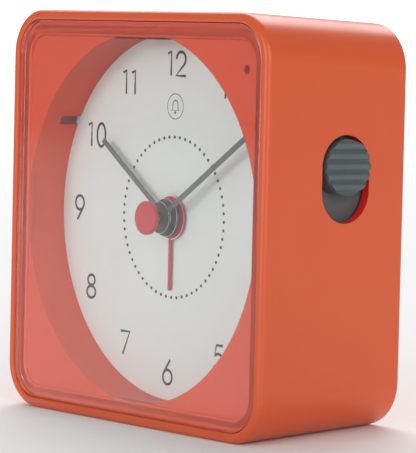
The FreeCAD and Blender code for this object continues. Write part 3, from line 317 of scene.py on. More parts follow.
@dataclass(frozen=True)
class Finish:
    """A material: what it is made of and how its surface was made.

    The base colour drifts between two close tones over a real distance, and a fine bump gives the
    surface its texture at a real grain size.
    """

    name: str
    colour: str
    drift: str
    roughness: float = 0.4
    metallic: float = 0.0
    ior: float = 1.46
    coat: float = 0.0
    coat_roughness: float = 0.1
    drift_mm: float = 12.0
    grain_mm: float = 0.35
    grain_height_mm: float = 0.004
    uneven: float = 0.05
    subsurface: float = 0.0

    def surface(self, tree: Tree) -> tuple[Socket, Socket]:
        """Make colour and roughness drift slowly over the piece.

        Args:
            tree: node tree of the material.

        Returns:
            The colour and the roughness output.
        """
        place = add_node(tree, "ShaderNodeTexCoord").outputs["Object"]
        broad = add_node(tree, "ShaderNodeTexNoise", None,
                         {"Vector": place, "Scale": 1 / (self.drift_mm * MM), "Detail": 3.0})
        tone = add_node(tree, "ShaderNodeMix", {"data_type": "RGBA"}, {0: broad.outputs["Fac"]})
        tone.inputs["A"].default_value = linear(self.colour)
        tone.inputs["B"].default_value = linear(self.drift)
        rough = add_node(tree, "ShaderNodeMapRange", None, {
            "Value": broad.outputs["Fac"], "From Min": 0.3, "From Max": 0.7,
            "To Min": self.roughness - self.uneven, "To Max": self.roughness + self.uneven})
        return tone.outputs["Result"], rough.outputs["Result"]

    def bump(self, tree: Tree) -> Socket:
        """Make the fine moulded or rolled grain.

        Args:
            tree: node tree of the material.

        Returns:
            The normal output.
        """
        place = add_node(tree, "ShaderNodeTexCoord").outputs["Object"]
        fine = add_node(tree, "ShaderNodeTexNoise", None,
                        {"Vector": place, "Scale": 1 / (self.grain_mm * MM), "Detail": 2.0})
        return add_node(tree, "ShaderNodeBump", None, {
            "Height": fine.outputs["Fac"], "Distance": self.grain_height_mm * MM,
            "Strength": 1.0}).outputs["Normal"]

    def build(self) -> bpy.types.Material:
        """Make the material, or return it if it is already made."""
        found = bpy.data.materials.get(self.name)
        if found:
            return found
        material = bpy.data.materials.new(self.name)
        material.use_nodes = True
        tree = material.node_tree
        shader = tree.nodes["Principled BSDF"]
        colour, rough = self.surface(tree)
        tree.links.new(colour, shader.inputs["Base Color"])
        tree.links.new(rough, shader.inputs["Roughness"])
        tree.links.new(self.bump(tree), shader.inputs["Normal"])
        shader.inputs["Metallic"].default_value = self.metallic
        if self.metallic < 1:
            shader.inputs["IOR"].default_value = self.ior
        shader.inputs["Coat Weight"].default_value = self.coat
        shader.inputs["Coat Roughness"].default_value = self.coat_roughness
        if self.subsurface:
            shader.inputs["Subsurface Weight"].default_value = self.subsurface
            shader.inputs["Subsurface Radius"].default_value = (1.0, 0.3, 0.15)
            shader.inputs["Subsurface Scale"].default_value = MM
        return material


@dataclass(frozen=True)
class ClearAcrylic:
    """Cast and polished acrylic: almost no colour, its sharp reflection held low by the gloss."""

    name: str = "polished_acrylic"
    ior: float = 1.49
    roughness: float = 0.02
    gloss: float = 0.05

    def build(self) -> bpy.types.Material:
        """Make the material with a clear path for light, so that what is behind stays lit."""
        found = bpy.data.materials.get(self.name)
        if found:
            return found
        material = bpy.data.materials.new(self.name)
        material.use_nodes = True
        tree = material.node_tree
        shader = tree.nodes["Principled BSDF"]
        shader.inputs["Base Color"].default_value = linear("#FDFDFC")
        shader.inputs["Roughness"].default_value = self.roughness
        shader.inputs["IOR"].default_value = self.ior
        shader.inputs["Transmission Weight"].default_value = 1.0
        shader.inputs["Specular IOR Level"].default_value = self.gloss
        clear = add_node(tree, "ShaderNodeBsdfTransparent")
        path = add_node(tree, "ShaderNodeLightPath")
        mix = add_node(tree, "ShaderNodeMixShader", None, {0: path.outputs["Is Shadow Ray"]})
        tree.links.new(shader.outputs["BSDF"], mix.inputs[1])
        tree.links.new(clear.outputs["BSDF"], mix.inputs[2])
        tree.links.new(mix.outputs["Shader"], tree.nodes["Material Output"].inputs["Surface"])
        return material


# ABS, polished tool: a soft gloss over an even warm orange, with the faint waviness of a moulding.
ORANGE_ABS = Finish("orange_abs", "#D65625", "#D15020", 0.34, coat=0.25, coat_roughness=0.18,
                    drift_mm=30, grain_mm=1.6, subsurface=0.05)
# The slot's wall: the same ABS with no gloss, its red brightened all over as painted light for the light its
# walls throw on each other.
SLOT_ABS = Finish("orange_abs_slot_painted_light", "#FF2A14", "#F82410", 0.45, drift_mm=10, grain_mm=0.6,
                  grain_height_mm=0.002)
# The mask behind the lens: the same ABS, moulded satin, its red set deeper than the case's as painted shade
# for where it sits back behind the rim and the lens.
MASK_ABS = Finish("mask_abs", "#D6420E", "#D03C0A", 0.5, drift_mm=30, grain_mm=1.2,
                  grain_height_mm=0.003, subsurface=0.05)
# Screen-printed white sheet with a satin lacquer.
DIAL_WHITE = Finish("dial_white", "#D4DAD9", "#D1D7D6", 0.55, drift_mm=25, grain_mm=0.3,
                    grain_height_mm=0.001)
# Black screen ink.
DIAL_INK = Finish("dial_ink", "#0A0F0D", "#0E1312", 0.5, drift_mm=3, grain_mm=0.2,
                  grain_height_mm=0.001)
# Stamped aluminium hands under grey lacquer, darker on the hubs, and the same in coral.
GREY_LACQUER = Finish("grey_lacquer", "#565D5E", "#5E6364", 0.3, coat=0.4, drift_mm=6,
                      grain_mm=0.4, grain_height_mm=0.002)
DARK_LACQUER = Finish("dark_lacquer", "#3E4145", "#45484A", 0.35, coat=0.3, drift_mm=4,
                      grain_mm=0.4, grain_height_mm=0.002)
CORAL_LACQUER = Finish("coral_lacquer", "#BE1C30", "#B81A2C", 0.35, coat=0.3, drift_mm=4,
                       grain_mm=0.5, grain_height_mm=0.002)
# Grey ABS of the slider and the setting knobs, spark-eroded to a dull grain.
GREY_ABS = Finish("grey_abs", "#596265", "#545D60", 0.55, drift_mm=5, grain_mm=0.25,
                  grain_height_mm=0.01)
# Neutral grey ABS of the slider's flange and the setting stems.
DARK_ABS = Finish("dark_abs", "#5D5F60", "#565859", 0.55, drift_mm=6, grain_mm=0.3,
                  grain_height_mm=0.01)
# Black ABS of the movement case, the buzzer's ring and the switch lever.
BLACK_ABS = Finish("black_abs", "#232426", "#2A2B2D", 0.5, drift_mm=10, grain_mm=0.4,
                   grain_height_mm=0.008)
# The hubs' rims, where the cutter went through the lacquer to bright aluminium.
CUT_EDGE = Finish("bright_cut_edge", "#F4F2F0", "#ECEAE8", 0.42, metallic=1.0, drift_mm=1,
                  grain_mm=0.05, grain_height_mm=0.001)
# White styrene carrier behind the dial.
WHITE_STYRENE = Finish("white_styrene", "#D9D7D0", "#D2D0C8", 0.5, drift_mm=14)
# Natural acetal wheels, waxy and a little translucent.
ACETAL = Finish("natural_acetal", "#E6E2D6", "#DFDACB", 0.42, drift_mm=4, subsurface=0.1)
# Turned brass of the arbors and sleeves.
TURNED_BRASS = Finish("turned_brass", "#C9A25E", "#BD9552", 0.28, metallic=1.0, drift_mm=2,
                      grain_mm=0.12, grain_height_mm=0.003)
# Bright zinc on the steel screws, clips and washer.
ZINC_STEEL = Finish("zinc_plated_steel", "#B9BCBE", "#A9ACAF", 0.32, metallic=1.0, drift_mm=2,
                    grain_mm=0.15)
# Stamped silicon steel of the motor.
SHEET_STEEL = Finish("silicon_steel", "#8E9194", "#83868A", 0.4, metallic=1.0, drift_mm=3,
                     grain_mm=0.3)
# Nickel plate on contacts and cans.
NICKEL = Finish("nickel_plated", "#C9C8C2", "#BDBCB6", 0.22, metallic=1.0, drift_mm=4,
                grain_mm=0.2, grain_height_mm=0.002)
# Sintered ferrite.
FERRITE = Finish("ferrite_magnet", "#3A3A3D", "#45454A", 0.45, drift_mm=1.5, grain_mm=0.1,
                 grain_height_mm=0.01)
# Fine enamelled wire, wound in layers.
COPPER_WIRE = Finish("enamelled_copper", "#A34E2A", "#8F4022", 0.3, metallic=0.8, drift_mm=2,
                     grain_mm=0.1, grain_height_mm=0.02)
# Green solder mask over laminate.
SOLDER_MASK = Finish("green_solder_mask", "#1E5B36", "#236641", 0.35, coat=0.3, drift_mm=3,
                     grain_mm=0.8, grain_height_mm=0.01)
# Moulded epoxy of the chip.
POTTING = Finish("black_epoxy", "#17181A", "#1D1E20", 0.25, coat=0.3, drift_mm=2)
# Smoked resin of the light sensor and the dial lamp, a deep red.
LAMP_RESIN = Finish("smoked_lamp_resin", "#8E1548", "#7E1040", 0.15, coat=0.5, drift_mm=2)
# Shrink sleeve of the cell.
CELL_SLEEVE = Finish("cell_sleeve", "#2B3440", "#37424F", 0.3, coat=0.4, drift_mm=8)

CAD_FINISHES: dict[Finish, tuple[str, ...]] = {
    ORANGE_ABS: ("battery_door",),
    DIAL_WHITE: ("dial_plate",),
    WHITE_STYRENE: ("dial_carrier",),
    ZINC_STEEL: ("case_screws", "movement_screws", "retaining_clips", "clutch_washer"),
    BLACK_ABS: ("movement_front_plate", "movement_housing", "buzzer_ring", "switch_lever"),
    ACETAL: ("intermediate_wheel", "third_wheel", "minute_wheel", "hour_wheel", "alarm_wheel",
             "centre_wheel", "coil_bobbin"),
    TURNED_BRASS: ("minute_arbor", "seconds_wheel", "buzzer_disc"),
    FERRITE: ("rotor",),
    GREY_ABS: ("time_set_knob", "alarm_set_knob"),
    DARK_ABS: ("time_set_stem", "alarm_set_stem"),
    SHEET_STEEL: ("stator", "coil_core"),
    COPPER_WIRE: ("coil_winding",),
    SOLDER_MASK: ("circuit_board", "switch_board"),
    POTTING: ("control_chip",),
    LAMP_RESIN: ("light_sensor", "dial_light"),
    NICKEL: ("quartz_crystal", "slide_switch", "battery_contact_positive",
             "battery_contact_negative", "alarm_contact_spring"),
    CELL_SLEEVE: ("battery_cell",),
}


def dress(piece: Piece, *finishes: Finish | ClearAcrylic) -> Piece:
    """Give a piece its materials.

    Args:
        piece: the object.
        finishes: its materials in slot order.

    Returns:
        The same object.
    """
    piece.data.materials.clear()
    for finish in finishes:
        piece.data.materials.append(finish.build())
    return piece


def dress_cad_nodes() -> None:
    """Give every carried node that still shows its finished material."""
    for finish, names in CAD_FINISHES.items():
        for name in names:
            dress(frame["nodes"][name], finish)


# -------------------- shapes the sub-assemblies share
def rounded_slab(name: str, width: float, height: float, corner: float, near: float, far: float,
                 x: float = 0.0, y: float = 0.0, segments: int = 12) -> Piece:
    """Add a box between two depths with its four depth edges rounded.

    Args:
        name: object name.
        width: size across.
        height: size up.
        corner: radius of the four edges.
        near: depth of the front face.
        far: depth of the rear face.
        x: centre across.
        y: centre up.
        segments: facets in each corner.

    Returns:
        The new object.
    """
    piece = block(name, width, height, near, far, x, y)
    pick(piece, "EDGE", lambda ends: abs(ends[0].z - ends[1].z) > (far - near) / 2)
    bpy.ops.mesh.bevel(offset=corner, segments=segments)
    return done(piece)


def on_plane(points: list[Vector], depth: float, slack: float = 1e-3) -> bool:
    """Whether all points lie at one depth."""
    return all(abs(point.z + depth) < slack for point in points)


def ring_cut(piece: Piece, radius: float, near: float, far: float, x: float = 0.0,
             y: float = 0.0, sides: int = 64) -> None:
    """Bore a round hole in a piece between two depths, at x, y."""
    carve(piece, [drum("bore", radius, near, far, x, y, sides)])


@dataclass
class CaseShell:
    """One-piece moulded case: drafted sides, rounded rim, closed back with wells and openings."""

    front: float = 80.0
    depth: float = 36.1
    corner: float = 8.9
    wall: float = 2.0
    back_wall: float = 2.0
    front_round: float = 1.2
    back_round: float = 1.0
    rim_round: float = 0.35
    slot_width: float = 12.1
    slot_travel: float = 4.5
    slot_up: float = 9.3
    slot_depth: float = 20.4
    slot_edge: float = 0.3
    slot_cut: Pair = (-6.0, 3.0)
    well_radius: float = 7.5
    well_depth: float = 4.2
    wells: tuple[Pair, ...] = ((14.328, -6.0), (-6.708, -6.0))
    sink_radius: float = 2.5
    sink_depth: float = 2.3
    sinks: Pair = (33.0, 25.0)
    door: tuple[float, float, float, float] = (56.0, 17.0, 1.5, -25.9)
    door_seat: float = 1.2
    door_ledge: float = 1.0
    bay_depth: float = 9.0
    sound_up: float = 20.0
    sound_ring: float = 4.2
    sound_hole: float = 0.9
    sound_holes: int = 6
    sound_cut: float = 5.0
    body: str = "clock"

    def shell(self) -> Piece:
        """Bucket with an open front, a drafted outside and rounded edges."""
        shell = block("case", self.front, self.front, 0.0, self.depth)
        narrow = 1 - self.depth * math.tan(DRAFT) / (self.front / 2)
        pick(shell, "FACE", lambda corners: on_plane(corners, self.depth))
        bpy.ops.transform.resize(value=(narrow, narrow, 1.0), center_override=(0, 0, -self.depth))
        pick(shell, "EDGE", lambda ends: abs(ends[0].z - ends[1].z) > 1)
        bpy.ops.mesh.bevel(offset=self.corner, segments=20)
        pick(shell, "FACE", lambda corners: on_plane(corners, 0))
        bpy.ops.mesh.inset(thickness=self.wall, depth=0)
        inner = self.front / 2 - self.wall
        inside = self.depth - self.back_wall
        bpy.ops.mesh.extrude_region_move(TRANSFORM_OT_translate={"value": (0, 0, -inside)})
        shrink = 1 - inside * math.tan(DRAFT) / inner
        bpy.ops.transform.resize(value=(shrink, shrink, 1.0), center_override=(0, 0, -inside))
        done(shell)
        self.round_rim(shell)
        return shell

    def round_rim(self, shell: Piece) -> None:
        """Round the outer rim, the inner rim and the back edge, each by its own radius."""
        half = self.front / 2
        for depth, inside, radius, steps in ((0.0, False, self.front_round, 6),
                                             (0.0, True, self.rim_round, 3),
                                             (self.depth, False, self.back_round, 5)):
            outline = half * (1 - depth * math.tan(DRAFT) / half)
            limit = -self.wall / 2 if depth == 0 else -0.5

            def on_loop(ends: list[Vector]) -> bool:
                """Whether an edge runs round the wanted rim."""
                out = [self.reach(end, depth) - outline for end in ends]
                beyond = max(out) < limit if inside else min(out) > limit
                return beyond and on_plane(ends, depth, 0.02)

            pick(shell, "EDGE", on_loop)
            bpy.ops.mesh.bevel(offset=radius, segments=steps)
            done(shell)

    def reach(self, point: Vector, depth: float) -> float:
        """Measure how far a point is from the middle, towards the side or corner it is nearest.

        Args:
            point: the point.
            depth: its depth.

        Returns:
            The distance, the same all round one outline.
        """
        across, up = abs(point.x), abs(point.y)
        flat = self.front / 2 - depth * math.tan(DRAFT) - self.corner
        if across > flat and up > flat:
            return flat + math.hypot(across - flat, up - flat)
        return max(across, up)

    def slot_tool(self) -> Piece:
        """Upright slot shape square to the drafted right side."""
        inner, outer = self.slot_cut
        deselect()
        bpy.ops.mesh.primitive_cylinder_add(vertices=64, radius=self.slot_width / 2,
                                            depth=outer - inner, rotation=(0, math.pi / 2, 0))
        tool = settle("slot_tool")
        pick(tool, "VERT", lambda at: at[0].y > 1e-4)
        bpy.ops.transform.translate(value=(0, self.slot_travel / 2, 0))
        pick(tool, "VERT", lambda at: at[0].y < 1e-4)
        bpy.ops.transform.translate(value=(0, -self.slot_travel / 2, 0))
        done(tool)
        return on_side(tool, (outer + inner) / 2, self.slot_up, self.slot_depth, self.front)

    def build(self) -> list[Piece]:
        """Model the case and cut every opening in it."""
        shell = self.shell()
        carve(shell, [self.slot_tool()])
        for x, y in self.wells:
            ring_cut(shell, self.well_radius, self.depth - self.well_depth, self.depth + 1, x, y, 96)
        for x in (-1, 1):
            for y in (-1, 1):
                ring_cut(shell, self.sink_radius, self.depth - self.sink_depth, self.depth + 1,
                         x * self.sinks[0], y * self.sinks[1], 48)
        width, height, corner, up = self.door
        carve(shell, [rounded_slab("door_tool", width, height, corner, self.depth - self.door_seat,
                                   self.depth + 1, 0, up)])
        ledges = 2 * self.door_ledge
        carve(shell, [rounded_slab("bay_tool", width - ledges, height - ledges, 0.2,
                                   self.depth - self.bay_depth, self.depth + 1, 0, up)])
        for step in range(self.sound_holes + 1):
            turn = 2 * math.pi * step / self.sound_holes
            ring = 0.0 if step == self.sound_holes else self.sound_ring
            ring_cut(shell, self.sound_hole, self.depth - self.sound_cut, self.depth + 1,
                     ring * math.cos(turn), self.sound_up + ring * math.sin(turn), 24)
        return [self.finish(shell)]

    def paint_slot(self, shell: Piece) -> None:
        """Give the wall of the slider's slot the second material, whose brighter red is painted light.

        Args:
            shell: the finished case.
        """
        surface = self.front / 2 - self.slot_depth * math.tan(DRAFT)
        high = (self.slot_width + self.slot_travel) / 2 + 0.1
        for face in shell.data.polygons:
            at = face.center
            if (surface - self.wall - 1 < at.x < surface - 0.2 and abs(at.y - self.slot_up) < high
                    and abs(-at.z - self.slot_depth) < self.slot_width / 2 + 0.1
                    and abs(face.normal.x) < 0.3):
                face.material_index = 1

    def finish(self, shell: Piece) -> Piece:
        """Break the sharp edges of the openings, dress the case and set it standing.

        Args:
            shell: the case with its openings cut.

        Returns:
            The same object.
        """
        soften(shell, self.slot_edge, 3, 60)
        # The slot's second material brightens its wall as painted light.
        dress(shell, ORANGE_ABS, SLOT_ABS)
        self.paint_slot(shell)
        stand(shell)
        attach(shell, self.body)
        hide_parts("case_shell")
        return shell


def on_side(piece: Piece, out: float, up: float, depth: float, front: float) -> Piece:
    """Move a tool modelled at the origin onto the drafted right side, square to it.

    Args:
        piece: object whose X points out of the side.
        out: how far its middle lies outside the surface.
        up: height of its middle.
        depth: depth of its middle.
        front: size of the case's front.

    Returns:
        The same object.
    """
    take(piece)
    surface = front / 2 - depth * math.tan(DRAFT)
    lean = Matrix.Rotation(-DRAFT, 4, "Y")
    outward = lean @ Vector((1, 0, 0))
    piece.matrix_world = Matrix.Translation(Vector((surface, up, -depth)) + outward * out) @ lean
    freeze()
    return piece


@dataclass
class FrontLens:
    """Clear flat lens with a small bevel round its front."""

    size: float = 75.8
    corner: float = 6.8
    near: float = 0.3
    far: float = 1.8
    bevel: float = 0.25

    def build(self) -> list[Piece]:
        """Model the lens with true flat faces so that it bends light as a flat sheet does."""
        lens = rounded_slab("lens", self.size, self.size, self.corner, self.near, self.far, segments=16)
        pick(lens, "EDGE", lambda ends: on_plane(ends, self.near))
        bpy.ops.mesh.bevel(offset=self.bevel, segments=2)
        done(lens)
        dress(lens, ClearAcrylic())
        stand(lens, 12.0)
        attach(lens, "clock")
        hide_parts("front_lens")
        return [lens]


@dataclass
class DialSurround:
    """Mask behind the lens: grooved rim, raised band with a soft step, deep round aperture."""

    size: float = 75.6
    corner: float = 6.7
    groove: float = 0.85
    groove_depth: float = 0.3
    band: float = 1.75
    band_corner: float = 4.4
    drop: float = 0.35
    near: float = 1.8
    field_step: float = 0.65
    back: float = 4.2
    aperture: float = 35.85
    wall: float = 1.15
    tube_end: float = 11.3
    cheek: float = 1.5
    sensor: Pair = (32.1, 29.4)
    sensor_radius: float = 0.85
    slot_up: float = 18.0
    slot_height: float = 2.1
    slot_near: float = 6.6
    slot_width: float = 3.4
    step_top: float = 0.45
    step_foot: float = 0.19
    edge: float = 0.12

    def plate(self) -> Piece:
        """Front plate with the groove round it and the sunk field, its step softly rounded."""
        outer = self.size - 2 * self.groove
        plate = rounded_slab("mask", self.size, self.size, self.corner, self.near + self.groove_depth,
                             self.back, segments=16)
        band = rounded_slab("mask_band", outer, outer, self.corner - self.groove, self.near,
                            self.back - 0.2, segments=16)
        carve(plate, [band], "UNION")
        inner = outer - 2 * self.band
        field_tool = rounded_slab("field_tool", inner, inner, self.band_corner, self.near - 1,
                                  self.near + self.field_step, 0, -self.drop, 16)
        carve(plate, [field_tool])
        for depth, offset, steps in ((self.near, self.step_top, 4),
                                     (self.near + self.field_step, self.step_foot, 2)):
            pick(plate, "EDGE", lambda ends: on_plane(ends, depth)
                 and all(max(abs(p.x), abs(p.y + self.drop)) < inner / 2 + 0.05 for p in ends))
            bpy.ops.mesh.bevel(offset=offset, segments=steps)
        return done(plate)

    def tube(self) -> Piece:
        """Deep wall of the aperture, back to the dial."""
        return drum("tube", self.aperture + self.wall, self.back - 0.5, self.tube_end, sides=160)

    def build(self) -> list[Piece]:
        """Join plate and tube, bore the aperture, the sensor hole and the lamp's slot."""
        mask = self.plate()
        carve(mask, [self.tube()], "UNION")
        inner = self.size - 2 * self.groove - 2 * self.band
        deep = drum("deep_tool", self.aperture, self.near + self.cheek, self.tube_end + 1, sides=160)
        carve(mask, [deep])
        bore = drum("aperture_tool", self.aperture, self.near - 1, self.near + self.cheek + 2, sides=160)
        window = block("window_tool", inner, inner, self.near - 2, self.near + self.cheek + 3, 0,
                       -self.drop)
        carve(bore, [window], "INTERSECT")
        carve(mask, [bore])
        ring_cut(mask, self.sensor_radius, self.near - 1, self.back + 1, *self.sensor, 32)
        reach = math.sqrt((self.aperture + self.wall) ** 2 - self.slot_up ** 2)
        carve(mask, [block("lamp_slot", self.slot_width, self.slot_height, self.slot_near, self.tube_end + 1,
                           -reach, self.slot_up)])
        soften(mask, self.edge, 2, 50)
        # The mask's deeper red is painted shade.
        dress(mask, MASK_ABS)
        stand(mask)
        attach(mask, "clock")
        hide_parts("dial_surround")
        return [mask]


# -------------------- printed dial
def arc(x: float, y: float, across: float, up: float, start: float, stop: float,
        steps: int = 28) -> Path:
    """Points along part of an ellipse.

    Args:
        x: centre across.
        y: centre up.
        across: half width.
        up: half height.
        start: first angle in degrees from its right side.
        stop: last angle.
        steps: number of chords.

    Returns:
        The points, both ends included.
    """
    turns = [math.radians(start + (stop - start) * step / steps) for step in range(steps + 1)]
    return [(x + across * math.cos(turn), y + up * math.sin(turn)) for turn in turns]


@dataclass
class Dial:
    """Print on the white dial: upright numerals, a ring of sixty dots and a bell in a circle."""

    near: float = 11.3
    height: float = 5.2
    stroke: float = 0.55
    ink: float = 0.02
    dot_ring: float = 15.65
    dot_radius: float = 0.33
    badge_up: float = 21.6
    badge_radius: float = 2.45
    badge_line: float = 0.16
    bell_line: float = 0.22
    clapper: float = 0.26
    places: dict[int, Pair] = field(default_factory=lambda: {
        12: (0.2, 29.9), 11: (-14.8, 25.9), 10: (-25.1, 15.1), 9: (-30.4, 0.0), 8: (-26.0, -15.5),
        7: (-14.5, -25.9), 6: (-0.65, -30.2), 5: (15.0, -26.0), 4: (26.0, -15.5), 3: (30.4, 0.0),
        2: (26.0, 15.1), 1: (15.2, 25.9)})

    def digit(self, figure: str) -> list[Path]:
        """Strokes of one numeral about its own middle, geometric and light.

        Args:
            figure: one character from 0 to 9.

        Returns:
            Lists of points, one list per stroke.
        """
        top = self.height / 2 - self.stroke / 2
        bowl, lower = 1.42, 1.2 - self.height / 2 + 0.25
        tail = [(0.75, top)] + arc(0, lower, bowl, bowl, 148, 148 + 360)
        shapes = {
            "0": [arc(0, 0, 1.35, top, 90, 450, 40)],
            "1": [[(-1.05, top - 0.42), (0, top), (0, -top)]],
            "2": [arc(0, top - bowl, bowl, bowl, 180, -38) + [(-1.5, -top), (1.55, -top)]],
            "3": [arc(-0.1, 1.2, 1.2, top - 1.2, 150, -90) + arc(-0.1, -1.18, 1.42, top - 1.18, 90, -150)],
            "4": [[(0.75, -top), (0.75, top), (-1.6, -1.25), (1.55, -1.25)]],
            "5": [[(1.25, top), (-0.75, top), (-1.15, 0.25)]
                  + arc(-0.1, -top + 1.5, 1.5, 1.5, 115, -150)],
            "6": [tail],
            "7": [[(-1.45, top), (1.5, top), (-0.65, -top)]],
            "8": [arc(0, 1.28, 1.15, top - 1.28, -90, 270), arc(0, -1.14, 1.42, top - 1.14, 90, 450)],
            "9": [[(-x, -y) for x, y in tail]],
        }
        return shapes[figure]

    def stroke_mesh(self, points: Path, width: float, name: str,
                    closed: bool = False) -> Piece:
        """Lay a flat line of ink on the dial.

        Args:
            points: the line's middle, across and up.
            width: width of the line.
            name: object name.
            closed: whether the last point joins the first.

        Returns:
            The line as a mesh.
        """
        curve = bpy.data.curves.new(name, "CURVE")
        curve.dimensions = "3D"
        curve.bevel_depth = width / 2
        curve.bevel_resolution = 1
        curve.use_fill_caps = True
        spline = curve.splines.new("POLY")
        spline.points.add(len(points) - 1)
        for point, (x, y) in zip(spline.points, points):
            point.co = (x, y, 0.0, 1.0)
        spline.use_cyclic_u = closed
        line = bpy.data.objects.new(name, curve)
        bpy.context.scene.collection.objects.link(line)
        take(line)
        bpy.ops.object.convert(target="MESH")
        line = bpy.context.object
        line.scale = (1.0, 1.0, 2 * self.ink / width)
        line.location = (0.0, 0.0, -self.near)
        freeze()
        return line

    def numerals(self) -> Piece:
        """All twelve numerals, each standing upright at its hour."""
        lines = []
        for hour, (x, y) in self.places.items():
            text = str(hour)
            shift = {"10": (-1.75, 1.45), "11": (-0.95, 1.86), "12": (-1.75, 1.3)}.get(text, (0.0,))
            for figure, aside in zip(text, shift):
                for path in self.digit(figure):
                    path = [(x + aside + a, y + b) for a, b in path]
                    closed = math.dist(path[0], path[-1]) < 1e-6
                    lines.append(self.stroke_mesh(path[:-1] if closed else path, self.stroke,
                                                  "numeral", closed))
        return merge(lines, "numerals")

    def dots(self) -> Piece:
        """Sixty minute dots."""
        made = [drum("dot", self.dot_radius, self.near - self.ink, self.near,
                     self.dot_ring * math.sin(math.radians(6 * step)),
                     self.dot_ring * math.cos(math.radians(6 * step)), 14) for step in range(60)]
        return merge(made, "minute_dots")

    def badge(self) -> Piece:
        """Small bell in a circle below the twelve."""
        up = self.badge_up
        ring = self.stroke_mesh(arc(0, up, self.badge_radius, self.badge_radius, 0, 354, 59), self.badge_line,
                                "badge_ring", True)
        dome = [(-1.15, up - 0.75), (-0.8, up - 0.35)] + arc(0, up + 0.3, 0.8, 0.9, 180, 0, 16)
        bell = self.stroke_mesh(dome + [(0.8, up - 0.35), (1.15, up - 0.75)], self.bell_line,
                                "bell", True)
        clapper = drum("clapper", self.clapper, self.near - self.ink, self.near, 0, up - 1.2, 16)
        return merge([ring, bell, clapper], "bell_badge")

    def build(self) -> list[Piece]:
        """Print everything on the dial."""
        printed = [self.numerals(), self.dots(), self.badge()]
        for piece in printed:
            dress(piece, DIAL_INK)
            stand(piece)
            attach(piece, "clock")
        return printed


# -------------------- hands
class Tip(Enum):
    """How a hand's far end is shaped."""

    SQUARE = "square"
    ROUND = "round"


@dataclass
class Hand:
    """Stamped hand: a slim blade with softened edges, a round hub and the bush pressed into it."""

    node: str
    body: str
    slot: str
    finish: Finish
    hub_finish: Finish
    near: float
    hub: float
    length: float
    width: float
    angle: float
    tube: float
    bush: float
    bush_length: float
    thickness: float = 0.35
    edge: float = 0.09
    rim: float = 0.18
    rim_step: Pair = (0.06, 0.07)
    bright: Pair = (0.1, 0.06)
    overlap: float = 0.3
    tip: Tip = Tip.SQUARE

    def blade(self) -> Piece:
        """Blade from the hub to the tip, turned to its hour."""
        far = self.near + self.thickness
        blade = block(self.node + "_blade", self.width, self.length, self.near, far, 0, self.length / 2)
        if self.tip is Tip.ROUND:
            pick(blade, "EDGE", lambda ends: all(p.y > self.length - 0.01 for p in ends)
                 and abs(ends[0].z - ends[1].z) > self.thickness / 2)
            bpy.ops.mesh.bevel(offset=self.width * 0.45, segments=5)
            done(blade)
        soften(blade, self.edge, 2, 60)
        take(blade)
        blade.rotation_euler = (0, 0, -math.radians(self.angle))
        freeze()
        return blade

    def boss(self) -> Piece:
        """Round hub with a bright rim round its sunk face, bored through with its bush."""
        far = self.near + self.thickness
        hub = drum(self.node + "_hub", self.hub, self.near, far, sides=96)
        pick(hub, "FACE", lambda corners: on_plane(corners, self.near))
        bpy.ops.mesh.inset(thickness=self.rim, depth=0)
        bpy.ops.mesh.inset(thickness=self.rim_step[0], depth=-self.rim_step[1])
        done(hub)
        bush = drum(self.node + "_bush", self.bush, far - 0.05, far + self.bush_length, sides=64)
        carve(hub, [bush], "UNION")
        ring_cut(hub, self.tube, self.near - 1, far + 3)
        soften(hub, 0.05, 2, 60)
        return hub

    def build(self) -> list[Piece]:
        """Model the hand as one piece that replaces the plain one."""
        blade, hub = self.blade(), self.boss()
        carve(blade, [drum("clear", self.hub - self.overlap, self.near - 1, self.near + 2, sides=96)])
        dress(blade, self.finish)
        dress(hub, self.hub_finish, CUT_EDGE)
        for face in hub.data.polygons:
            if (math.hypot(face.center.x, face.center.y) > self.hub - self.bright[0]
                    and -face.center.z < self.near + self.bright[1]):
                face.material_index = 1
        hand = merge([blade, hub], self.node + "_stamped")
        stand(hand)
        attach(hand, self.body)
        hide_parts(self.node)
        return [hand]


@dataclass
class SecondsDisc:
    """Coral disc in front of the hands, on its brass sleeve."""

    radius: float = 3.28
    near: float = 4.3
    thickness: float = 1.0
    edge: float = 0.3
    sleeve: float = 0.95
    sleeve_length: float = 1.2
    arbor: float = 0.5
    face_rim: float = 0.35
    hollow: Pair = (0.9, 0.05)
    back_edge: float = 0.12

    def build(self) -> list[Piece]:
        """Model the disc with a rounded edge and a shallow turned hollow in its face."""
        far = self.near + self.thickness
        disc = drum("coral_disc", self.radius, self.near, far, sides=96)
        pick(disc, "EDGE", lambda ends: on_plane(ends, self.near))
        bpy.ops.mesh.bevel(offset=self.edge, segments=5)
        pick(disc, "FACE", lambda corners: on_plane(corners, self.near))
        bpy.ops.mesh.inset(thickness=self.face_rim, depth=0)
        bpy.ops.mesh.inset(thickness=self.hollow[0], depth=-self.hollow[1])
        pick(disc, "EDGE", lambda ends: on_plane(ends, far))
        bpy.ops.mesh.bevel(offset=self.back_edge, segments=2)
        done(disc)
        dress(disc, CORAL_LACQUER)
        sleeve = drum("disc_sleeve", self.sleeve, far - 0.1, far + self.sleeve_length, sides=48)
        soften(sleeve, 0.06, 2, 60)
        ring_cut(sleeve, self.arbor, far - 1, far + 2, sides=32)
        dress(sleeve, TURNED_BRASS)
        whole = merge([disc, sleeve], "seconds_disc_turned")
        stand(whole)
        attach(whole, "seconds")
        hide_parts("seconds_disc")
        return [whole]


